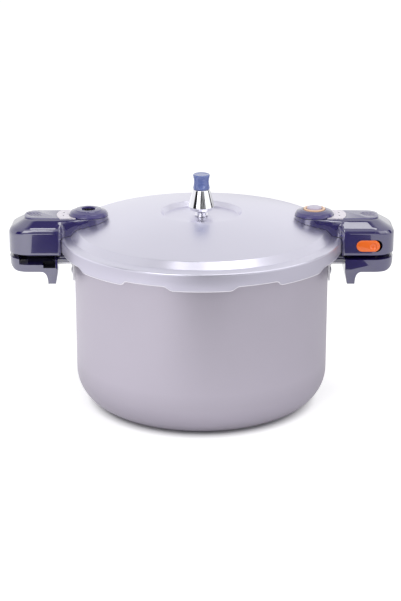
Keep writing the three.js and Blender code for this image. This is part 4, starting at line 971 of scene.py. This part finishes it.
def cavity():
    """The hollow under the lid handle, with two posts for the cover's screws."""
    floor, end_bend, end_slope, side_bend, top = 160, 187, 189.6, 190.4, 197.2
    upper_corner, lower_corner = 12, 18.2
    side = [(28.2, floor), (28.2, side_bend), (17.6, top)]
    end = [(197.2, floor), (197.2, end_bend), (194.8, end_slope), (180.6, top)]
    rings = []
    for height in (floor, 175, end_bend, end_slope, side_bend, 194, top):
        half = at_height(side, height)
        reach = at_height(end, height)
        outline = plan(CAVITY_START, reach, half, upper_corner if height > side_bend else lower_corner, 12)
        rings.append([(x, y, height) for x, y in outline])
    hollow = loft("tool", rings)
    posts = [rod(COVER_POST_RADIUS, LID_CUT[0], top + 0.8, place, steps=FINE_HOLE_STEPS)
             for place in COVER_SCREW_PLACES]
    return cut(hollow, *posts)


def make_lid_handle(with_lock):
    handle = loft("lid_handle_fine", [lid_handle_ring(height) for height in lid_handle_levels()])
    cut(handle, lid_form())
    cut(handle, cavity())
    bed = slab("tool", inlay_plan(GAP), LID_HANDLE_TOP - INLAY_BED_DEPTH, LID_HANDLE_TOP + OVERRUN)
    cut(bed, rod(CAP_RADIUS, *LID_CUT, BOSS, steps=96))
    cut(handle, bed, rod(BOSS_BORE, *HANDLE_CUT, BOSS))
    if with_lock:
        opening = stadium(SLOT_LEFT, SLOT_LENGTH, SLOT_LOW, SLOT_HEIGHT)
        cut(handle, slab("tool", opening, *SLOT_CUT, "Y"))

        def in_slot_shade(middle, normal):
            beside = SLOT_LEFT - 1.3 < middle.x < SLOT_LEFT + SLOT_LENGTH + 1.4
            level = SLOT_LOW - 0.9 < middle.z < SLOT_LOW + SLOT_HEIGHT + 0.4
            return beside and level and -30.9 < middle.y < SLOT_CUT[1] + 0.5 and abs(normal.y) < 0.5

        # painted shade: the slot's walls are drawn near-black
        mark(handle, 1, in_slot_shade)
    return smooth(handle, 30)


def make_inlay():
    """The panel in a handle's top, with a shallow dished scoop and four slanting grooves in it."""
    inlay = slab("inlay_fine", inlay_plan(0), INLAY_LOW, INLAY_TOP)
    eased(inlay, INLAY_ROUND)
    cut(inlay, rod(LABEL_RADIUS + GAP, *LID_CUT, BOSS, steps=128))
    bowl = turned("tool", [(0, -1)] + arc((0, 0), 1, -80, 0, 10) + [(1, 4), (0, 4)], 48)
    for vertex in bowl.data.vertices:
        x, y, z = vertex.co / MM
        vertex.co = ((SCOOP_CENTRE + SCOOP_HALF_LENGTH * x) * MM, SCOOP_HALF_WIDTH * y * MM,
                     (INLAY_TOP + SCOOP_DEPTH * min(z, 0) + max(z, 0)) * MM)
    cut(inlay, bowl)
    turn = math.radians(RIB_SLANT)
    for i in range(4):
        along = SCOOP_CENTRE + (i - 1.5) * RIB_PITCH
        length = LONG_RIB if i in (1, 2) else SHORT_RIB
        groove = slab("tool", stadium(-length, 2 * length, -RIB_WIDTH / 2, RIB_WIDTH, 8),
                      INLAY_TOP - RIB_DEPTH, INLAY_TOP + 3)
        for vertex in groove.data.vertices:
            x, y, z = vertex.co
            vertex.co = (x * math.cos(turn) - y * math.sin(turn) + along * MM,
                         x * math.sin(turn) + y * math.cos(turn), z)
        cut(inlay, groove)

    def on_groove(middle, normal):
        across = (middle.x - SCOOP_CENTRE) / (SCOOP_HALF_LENGTH - GAP)
        along = middle.y / (SCOOP_HALF_WIDTH - GAP)
        return math.hypot(across, along) < 1 and abs(normal.z) < 0.6 and middle.z > INLAY_TOP - 1

    # painted highlight: the groove walls inside the scoop get the pale rib finish
    mark(inlay, 1, on_groove)
    return smooth(inlay, 30)


def make_label():
    """A pale band round the cap, as wide as the inlay, with two dark dots."""
    label = rod(LABEL_RADIUS, INLAY_LOW, LABEL_TOP, BOSS, steps=160)
    common(label, box(BOSS_CENTRE, INLAY_END, -INLAY_HALF_WIDTH, INLAY_HALF_WIDTH,
                      INLAY_LOW - 1, LABEL_TOP + 1))
    cut(label, rod(CAP_RADIUS + GAP, *LID_CUT, BOSS, steps=96))
    eased(label, GAP)
    place = BOSS_CENTRE + DOT_REACH
    cut(label, *[rod(DOT_RADIUS, LABEL_TOP - DOT_DEPTH, LABEL_TOP + 1, (place, y), steps=24)
                 for y in (-DOT_OFFSET, DOT_OFFSET)])

    def in_dot(middle, normal):
        near = math.hypot(middle.x - place, abs(middle.y) - DOT_OFFSET) < DOT_RADIUS + 0.1
        return near and LABEL_TOP - DOT_DEPTH - 0.1 < middle.z < LABEL_TOP - 0.05

    mark(label, 1, in_dot)
    return smooth(label, 30)


# Caps, valves and regulator, drawn at the right hand boss or on the pot's axis

def cap_outside():
    """The caps' shared outer profile, from the foot up to the rim, and its roundings."""
    points = [(CAP_FOOT_RADIUS, CAP_LOW), (CAP_RADIUS, CAP_LOW), (CAP_RADIUS, CAP_LOW + 1.4),
              (18.47, CAP_LOW + 4.05), (13.9, CAP_LOW + 5.64)]
    return points, [0, 0.4, 1.0, 2.2, 0.5]


def cap_foot(bore):
    """The foot that stands in the boss, from the cap's bore round to its outside."""
    low = CAP_LOW - CAP_FOOT_DEPTH
    return [(bore, low), (CAP_FOOT_RADIUS, low)]


def make_vent_cap():
    """The steam outlet's cap, with a round opening in its raised middle."""
    points, radii = cap_outside()
    opening, step = 7.05, CAP_TOP - CAP_STEP_DEPTH
    points += [(13.4, CAP_LOW + CAP_RIM_HEIGHT), (8.9, CAP_TOP), (opening, CAP_TOP - 0.5), (opening, step),
               (CAP_BORE, step)] + cap_foot(CAP_BORE)
    radii += [0.3, 0.7, 0.3, 0, 0, 0, 0]
    cap = turned("vent_cap_fine", rounded(points, radii, True), 128, True, BOSS)
    return smooth(cap, 30)


def make_vent_grille():
    """A ring with six teeth that point inward, in the steam outlet."""
    low, high = GRILLE_LOW, GRILLE_LOW + 1.5
    inner, outer, tooth_tip, tooth_half, inset = 5.35, 6.75, 3.95, 0.65, 0.02
    corners = [(inner, low), (outer, low), (outer, high), (inner, high)]
    grille = turned("vent_grille_fine", rounded(corners, [0.2] * 4, True, 3), 72, True)
    teeth = []
    for i in range(6):
        tooth = box(tooth_tip, inner + tooth_half, -tooth_half, tooth_half, low + inset, high - inset)
        eased(tooth, 0.2, 2)
        tooth.data.transform(Matrix.Rotation(math.radians(60 * i), 4, "Z"))
        teeth.append(tooth)
    join(grille, *teeth)
    return smooth(moved(grille, BOSS_CENTRE, 0, 0), 30)


def make_indicator_cap():
    """The indicator's cap, with a bed for the peach ring round its opening."""
    points, radii = cap_outside()
    opening, ring_wall = 8.4, 11.6
    bed = CAP_TOP - CAP_STEP_DEPTH + GAP
    points += [(ring_wall, CAP_LOW + CAP_RIM_HEIGHT), (ring_wall, bed), (opening, bed), (opening, bed - 1.4),
               (CAP_BORE, bed - 1.4)] + cap_foot(CAP_BORE)
    radii += [0.4, 0, 0, 0, 0, 0, 0]
    cap = turned("indicator_cap_fine", rounded(points, radii, True), 128, True, BOSS)
    return smooth(cap, 30)


def make_indicator_ring():
    low, high, inner, outer = RING_LOW, RING_LOW + 2.7, 8.4, 11.3
    points = [(inner, low), (outer, low), (outer, high - 0.1), (outer - 0.9, high), (inner + 1, high),
              (inner, high - 0.5)]
    profile = rounded(points, [0.2, 0.2, 0.8, 0.5, 0.9, 0.7], True)
    return smooth(turned("indicator_ring_fine", profile, 128, True, BOSS), 40)


def make_indicator_button():
    """The raised button, with a socket below for the float's stem."""
    low, high, radius, socket, socket_depth = 203.6, 209.0, 7.8, 2, 3
    points = [(0, low + socket_depth), (socket, low + socket_depth), (socket, low), (radius, low),
              (radius, high - 0.35), (radius - 2.3, high), (0, high)]
    button = turned("indicator_button_fine", rounded(points, [0, 0, 0, 0.3, 1.1, 3, 0]), 96, False, BOSS)
    return smooth(button, 40)


def make_vent_pipe():
    """The steam pipe, with its flange on the recess's floor, a collar and a tapered tip."""
    floor = FLOOR_HEIGHT
    bore, thread, flange, collar, stem, low = 1.2, 4.6, 7, 5.2, 2.9, 186.7
    flange_low, flange_top, tip = floor + GAP, floor + 1.6, floor + 17.8
    points = [(bore, low), (thread, low), (thread, flange_low), (flange, flange_low), (flange, flange_top),
              (collar, flange_top), (collar, floor + 3.5), (stem, floor + 4.8), (stem, tip - 2), (2, tip),
              (bore, tip)]
    profile = rounded(points, [0, 0, 0, 0.2, 0.4, 0.3, 0.7, 0.8, 0.4, 0.3, 0], True)
    return smooth(turned("vent_pipe_fine", profile, 72, True), 30)


def make_weight():
    """The chrome weight: a tapered bell, hollow below for the clip and the needle, and a spigot on top."""
    low = WEIGHT_LOW
    needle_bore, needle_top, bell_bore, bell_top = 1.5, 225.2, 4.6, 217.6
    clip_groove, clip_low, clip_high, mouth = 6.2, 207.8, 210.4, 5.2
    shoulder, spigot = low + 21.8, 3
    points = [(0, needle_top), (needle_bore, needle_top), (needle_bore, bell_top), (bell_bore, bell_top),
              (bell_bore, clip_high), (clip_groove, clip_high), (clip_groove, clip_low), (mouth, clip_low),
              (mouth, low), (11.6, low), (13.7, low + 3.5), (8.7, shoulder), (spigot, shoulder),
              (spigot, low + 30), (0, low + 30)]
    radii = [0, 0, 0, 0, 0, 0, 0, 0, 0.5, 0.5, 0.7, 0.8, 0, 0.4, 0]
    return smooth(turned("regulator_weight_fine", rounded(points, radii), 144), 30)


def make_knob():
    """A knob with nearly straight sides, four shallow thumb scoops and a crisp upper rim."""
    low, height, radius, socket, socket_top = 228.1, 15.6, 8.85, 3.3, 236.3
    top = low + height
    side_shares = [(0, 0.93), (0.06, 0.99), (0.5, 0.97), (0.9, 1), (0.97, 0.97), (1, 0.9)]
    outside = rounded([(radius * r, low + height * h) for h, r in side_shares], [0, 0.6, 20, 0.8, 0.4, 0])
    crown = rounded([(0.9 * radius - 0.4, top), (0.62 * radius, top - 0.5), (0, top - 0.3)], [0, 0.8, 0])
    profile = [(0, socket_top), (socket, socket_top), (socket, low)] + outside + crown
    knob = turned("regulator_knob_fine", profile, 128)
    scoop_radius, scoop_reach, count = 14, 20.95, 4
    scoops = []
    for i in range(count):
        ball = turned("tool", arc((0, 0), scoop_radius, -90, 90, 48), 96)
        angle = math.radians(360 / count * i)
        moved(ball, scoop_reach * math.cos(angle), scoop_reach * math.sin(angle), low + height / 2)
        scoops.append(ball)
    cut(knob, *scoops)
    return smooth(knob, 35)


def make_lock_button():
    """The orange slide: a rounded bar with a thumb scoop, on a flange behind the handle's front."""
    front, depth, edge = -31.9, 5.6, 0.8
    left, low = SLOT_LEFT + GAP, SLOT_LOW + GAP
    height = SLOT_HEIGHT - 2 * GAP
    length = SLOT_LENGTH - 2 * GAP - LOCK_TRAVEL
    middle_height = low + height / 2
    button = slab("lock_button_fine", stadium(left, length, low, height, 24), front, front + depth, "Y")
    eased(button, edge, 4)
    ball = turned("tool", arc((0, 0), 5.2, -90, 90, 32), 64)
    cut(button, moved(ball, left + length - 6.8, front - 3.6, middle_height))
    flange = box(left - 1.5, left + 16, -27.9, -26.0, low - 0.75, low + height + 1.5)
    join(button, eased(flange, 0.3))
    # painted shade: the sides behind the front rounding get the darker red copy
    mark(button, 1, lambda middle, normal: middle.y > front + edge + 0.05 and normal.y > -0.3)
    return smooth(button, 35)


def make_head_screw(centre, low, head_radius, head_height, radius, tip):
    """A pan head below with a cross recess, and its shank above."""
    points = [(0, low), (head_radius, low), (head_radius, low + head_height), (radius, low + head_height),
              (radius, tip - 1), (radius / 2, tip), (0, tip)]
    head = turned("screw_fine", rounded(points, [0, 0.8, 0.1, 0, 0, 0, 0]), 48)
    arm, arm_half_width, arm_depth, arm_turn = head_radius * 0.6, 0.45, 1.3, 30
    for turn in (0, 90):
        slot = eased(box(-arm, arm, -arm_half_width, arm_half_width, low - 1, low + arm_depth), 0.2, 2)
        slot.data.transform(Matrix.Rotation(math.radians(turn + arm_turn), 4, "Z"))
        cut(head, slot)
    return smooth(moved(head, *centre, 0), 35)


def both_sides(make, body, node, slot, *materials):
    """Makes a right hand piece and its left hand twin."""
    right = make()
    right.name = "right_" + node + "_fine"
    left = twin(right, "left_" + node + "_fine")
    dress(right, body, "right_" + node, slot, *materials)
    dress(left, body, "left_" + node, slot, *materials)


def make_pieces():
    make_pot()
    make_lid()
    both_sides(make_bracket, "pot", "pot_bracket", "bracket_steel", STEEL)
    for letter, side in (("a", 1), ("b", -1)):
        both_sides(lambda: make_rivet(side), "pot", "pot_rivet_" + letter, "fastener_steel", FASTENER)
    both_sides(make_pot_handle, "pot", "pot_handle", "handle_plastic", NAVY, DARK_AND_SHADE)
    both_sides(make_inlay, "lid", "handle_inlay", "handle_plastic", PANEL, RIB_HIGHLIGHT)
    both_sides(make_label, "lid", "label_plate", "label_silver", LABEL, DOT)
    right = make_lid_handle(True)
    right.name = "right_lid_handle_fine"
    dress(right, "lid", "right_lid_handle", "handle_plastic", NAVY, DARK_AND_SHADE)
    left = half_turn(make_lid_handle(False))
    left.name = "left_lid_handle_fine"
    dress(left, "lid", "left_lid_handle", "handle_plastic", NAVY)
    both_sides(lambda: make_head_screw(SCREW_PLACE, POT_HANDLE_BOTTOM, head_radius=3.8, head_height=2.4,
                                       radius=2, tip=POT_HANDLE_TOP - 2.8),
               "pot", "pot_handle_screw", "fastener_steel", FASTENER)
    for letter, place in zip("ab", COVER_SCREW_PLACES):
        both_sides(lambda: make_head_screw(place, LID_HANDLE_BOTTOM, head_radius=3.2, head_height=1.4,
                                           radius=1.5, tip=LID_HANDLE_BOTTOM + 14),
                   "lid", "cover_screw_" + letter, "fastener_steel", FASTENER)
    dress(half_turn(make_vent_cap()), "lid", "vent_cap", "handle_plastic", PANEL)
    # painted shade: the grille in the steam outlet is drawn near-black
    dress(half_turn(make_vent_grille()), "lid", "vent_grille", "handle_plastic", DARK_AND_SHADE)
    dress(make_indicator_cap(), "lid", "indicator_cap", "handle_plastic", PANEL)
    dress(make_indicator_ring(), "lid", "indicator_ring", "ring_plastic", PEACH)
    dress(make_indicator_button(), "indicator", "indicator_button", "button_plastic", LILAC)
    dress(make_lock_button(), "lock", "lock_button", "lock_plastic", ORANGE, ORANGE_SIDE_SHADE)
    dress(make_vent_pipe(), "lid", "vent_pipe", "regulator_chrome", CHROME)
    dress(make_weight(), "regulator", "regulator_weight", "regulator_chrome", CHROME)
    dress(make_knob(), "regulator", "regulator_knob", "knob_plastic", KNOB)


CARRIED = {
    "handle_cover": DARK_AND_SHADE, "lid_handle_screw": FASTENER, "nut": FASTENER, "gasket": RUBBER, "seal": RUBBER,
    "washer": RUBBER, "safety_valve_body": BRASS, "plunger": BRASS, "spring": STEEL, "retainer": STEEL,
    "housing": BRASS, "float": FASTENER, "filter": STEEL, "needle": FASTENER, "clip": STEEL, "bolt": STEEL,
}


def finish_carried_nodes():
    """Gives the pieces that keep their own mesh a finish."""
    for name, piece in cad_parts.items():
        for word, material in CARRIED.items():
            if word in name:
                for holder in piece.material_slots:
                    holder.material = material


# Stage: a pale floor, soft light and the camera. Glows, lights and walls are strengths, where 1 is
# white; glow starts and blends are metres, and the dark screens' sides are degrees from the front.

FLOOR_SIDE = 6000.0
FLOOR_FRONT = -548.0
FLOOR_GAP = 240.0
FLOOR_GLOW = 0.55
FLOOR_GLOW_LEFT = 0.6
FLOOR_GLOW_RIGHT = 0.1
FLOOR_GLOW_START = (0.11, 0.123)
FLOOR_GLOW_BLEND = (-0.25, 0.25)
WORLD_LIGHT = 0.55
UPPER_WALL = 0.84
FRONT_WALL = 0.25
FRONT_FLOOR = 0.1
CEILING = 0.12
DARK_SCREENS = ((-76, -50), (100, 116))
SCREEN_LIGHT = 0.02


def make_floor():
    """A pale table with a gap in front for the camera, outside the picture. It shows white to the
    camera and, brighter on the left, in reflections, but not in the narrow space under the pot's
    rounded edge, which stays in shadow."""
    floor = slab("floor", [(-FLOOR_GAP, FLOOR_FRONT), (FLOOR_GAP, FLOOR_FRONT), (FLOOR_GAP, -FLOOR_SIDE / 2),
                           (FLOOR_SIDE, -FLOOR_SIDE / 2), (FLOOR_SIDE, FLOOR_SIDE), (-FLOOR_SIDE, FLOOR_SIDE),
                           (-FLOOR_SIDE, -FLOOR_SIDE / 2), (-FLOOR_GAP, -FLOOR_SIDE / 2)], -1.0, 0)
    material, graph, shader = start_material("pale_floor")
    path, mirrored = graph.rays()
    place = graph.place()
    open_floor = graph.ramp(graph.from_axis(place), *FLOOR_GLOW_START)
    soft = graph.group(SOFT_TONE, {"Color": (0.86, 0.86, 0.87, 1), "Amount": 0.01, "Scale": 3.0})
    beside = graph.mix_value(graph.ramp(place[0], *FLOOR_GLOW_BLEND), FLOOR_GLOW_LEFT, FLOOR_GLOW_RIGHT)
    seen = graph.math("ADD", graph.math("MULTIPLY", path["Is Camera Ray"], FLOOR_GLOW),
                      graph.math("MULTIPLY", mirrored, beside))
    graph.fill(shader, {"Base Color": soft["Color"], "Roughness": 0.9, "Specular IOR Level": 0.1,
                        "Emission Color": (1, 1, 1, 1),
                        "Emission Strength": graph.math("MULTIPLY", seen, open_floor)})
    floor.data.materials.append(material)


def make_world():
    """A studio: plain light on everything, and a white backdrop. Reflections also show the dimmer
    room in front of the object, two narrow dark screens beside it and the ceiling."""
    world = bpy.data.worlds.new("studio")
    world.use_nodes = True
    bpy.context.scene.world = world
    graph = Graph(world.node_tree)
    world.node_tree.nodes.clear()
    path, mirrored = graph.rays()
    place = graph.add("TexCoord").outputs["Generated"]
    way = graph.add("SeparateXYZ", {0: place}).outputs
    clutter = graph.add("TexNoise", {"Vector": place, "Scale": 9.0, "Detail": 3.0}).outputs[0]
    wall = graph.math("MULTIPLY", graph.ramp(clutter, 0.35, 0.65), 2 * FRONT_WALL)
    front = graph.mix_value(graph.ramp(way[2], -0.03, 0.03), FRONT_FLOOR, wall)
    front = graph.mix_value(graph.ramp(way[2], 0.35, 0.7), front, UPPER_WALL)
    back = graph.mix_value(graph.ramp(way[2], 0.3, 0.62), 1.0, UPPER_WALL)
    room = graph.mix_value(graph.ramp(way[1], -0.35, -0.1), front, back)
    degrees = graph.math("DEGREES", graph.math("ARCTAN2", way[0], graph.math("MULTIPLY", way[1], -1.0)))
    for low, high in DARK_SCREENS:
        after, before = graph.ramp(degrees, low - 1, low + 1), graph.ramp(degrees, high + 1, high - 1)
        across = graph.math("MULTIPLY", after, before)
        screen = graph.math("MULTIPLY", across, graph.ramp(way[2], 0.5, 0.4))
        room = graph.mix_value(screen, room, SCREEN_LIGHT)
    shown = graph.mix_value(graph.ramp(way[2], 0.88, 0.97), room, CEILING)
    strength = graph.mix_value(mirrored, WORLD_LIGHT, shown)
    strength = graph.mix_value(path["Is Camera Ray"], strength, 1.0)
    light = graph.add("Background", {"Color": (1, 1, 1, 1), "Strength": strength})
    graph.add("OutputWorld", {"Surface": light.outputs[0]})


def make_lamp(name, place, size, radiance, aim=(0, 0, 0.15)):
    """A softbox that faces the object; its brightness is the value that it shows when mirrored."""
    data = bpy.data.lights.new(name, "AREA")
    data.shape = "RECTANGLE"
    data.size, data.size_y = size
    data.energy = radiance * math.pi * size[0] * size[1]
    lamp = placed(name, data)
    lamp.location = place
    way = Vector(aim) - Vector(place)
    lamp.rotation_euler = way.to_track_quat("-Z", "Y").to_euler()


def around(azimuth, distance, height):
    """A place at an angle from the front, counted towards +X."""
    turn = math.radians(azimuth)
    return (distance * math.sin(turn), -distance * math.cos(turn), height)


def make_camera():
    pitch = math.radians(PITCH)
    data = bpy.data.cameras.new("camera")
    data.lens = FOCAL_PIXELS / FRAME_HEIGHT * SENSOR
    data.sensor_width = SENSOR
    camera = placed("camera", data)
    camera.location = Vector((CAMERA_SIDE, -CAMERA_DISTANCE * math.cos(pitch),
                              AIM_HEIGHT + CAMERA_DISTANCE * math.sin(pitch))) * MM
    camera.rotation_euler = (math.pi / 2 - pitch, 0, 0)
    bpy.context.scene.camera = camera


make_camera()
make_pieces()
finish_carried_nodes()
make_floor()
make_world()
make_lamp("overhead_right", (0.42, -0.2, 1.9), (0.85, 0.7), 2.7, (0.42, -0.2, 0))
make_lamp("overhead_left", (-0.35, -0.6, 1.9), (0.7, 0.25), 2.5, (-0.3, -0.6, 0))
make_lamp("key_left", around(-30, 1.3, 0.85), (0.8, 0.9), 2.2)
make_lamp("fill_right", around(62, 1.9, 0.9), (1.7, 1.2), 1.05)

bpy.context.scene.view_settings.view_transform = "Standard"
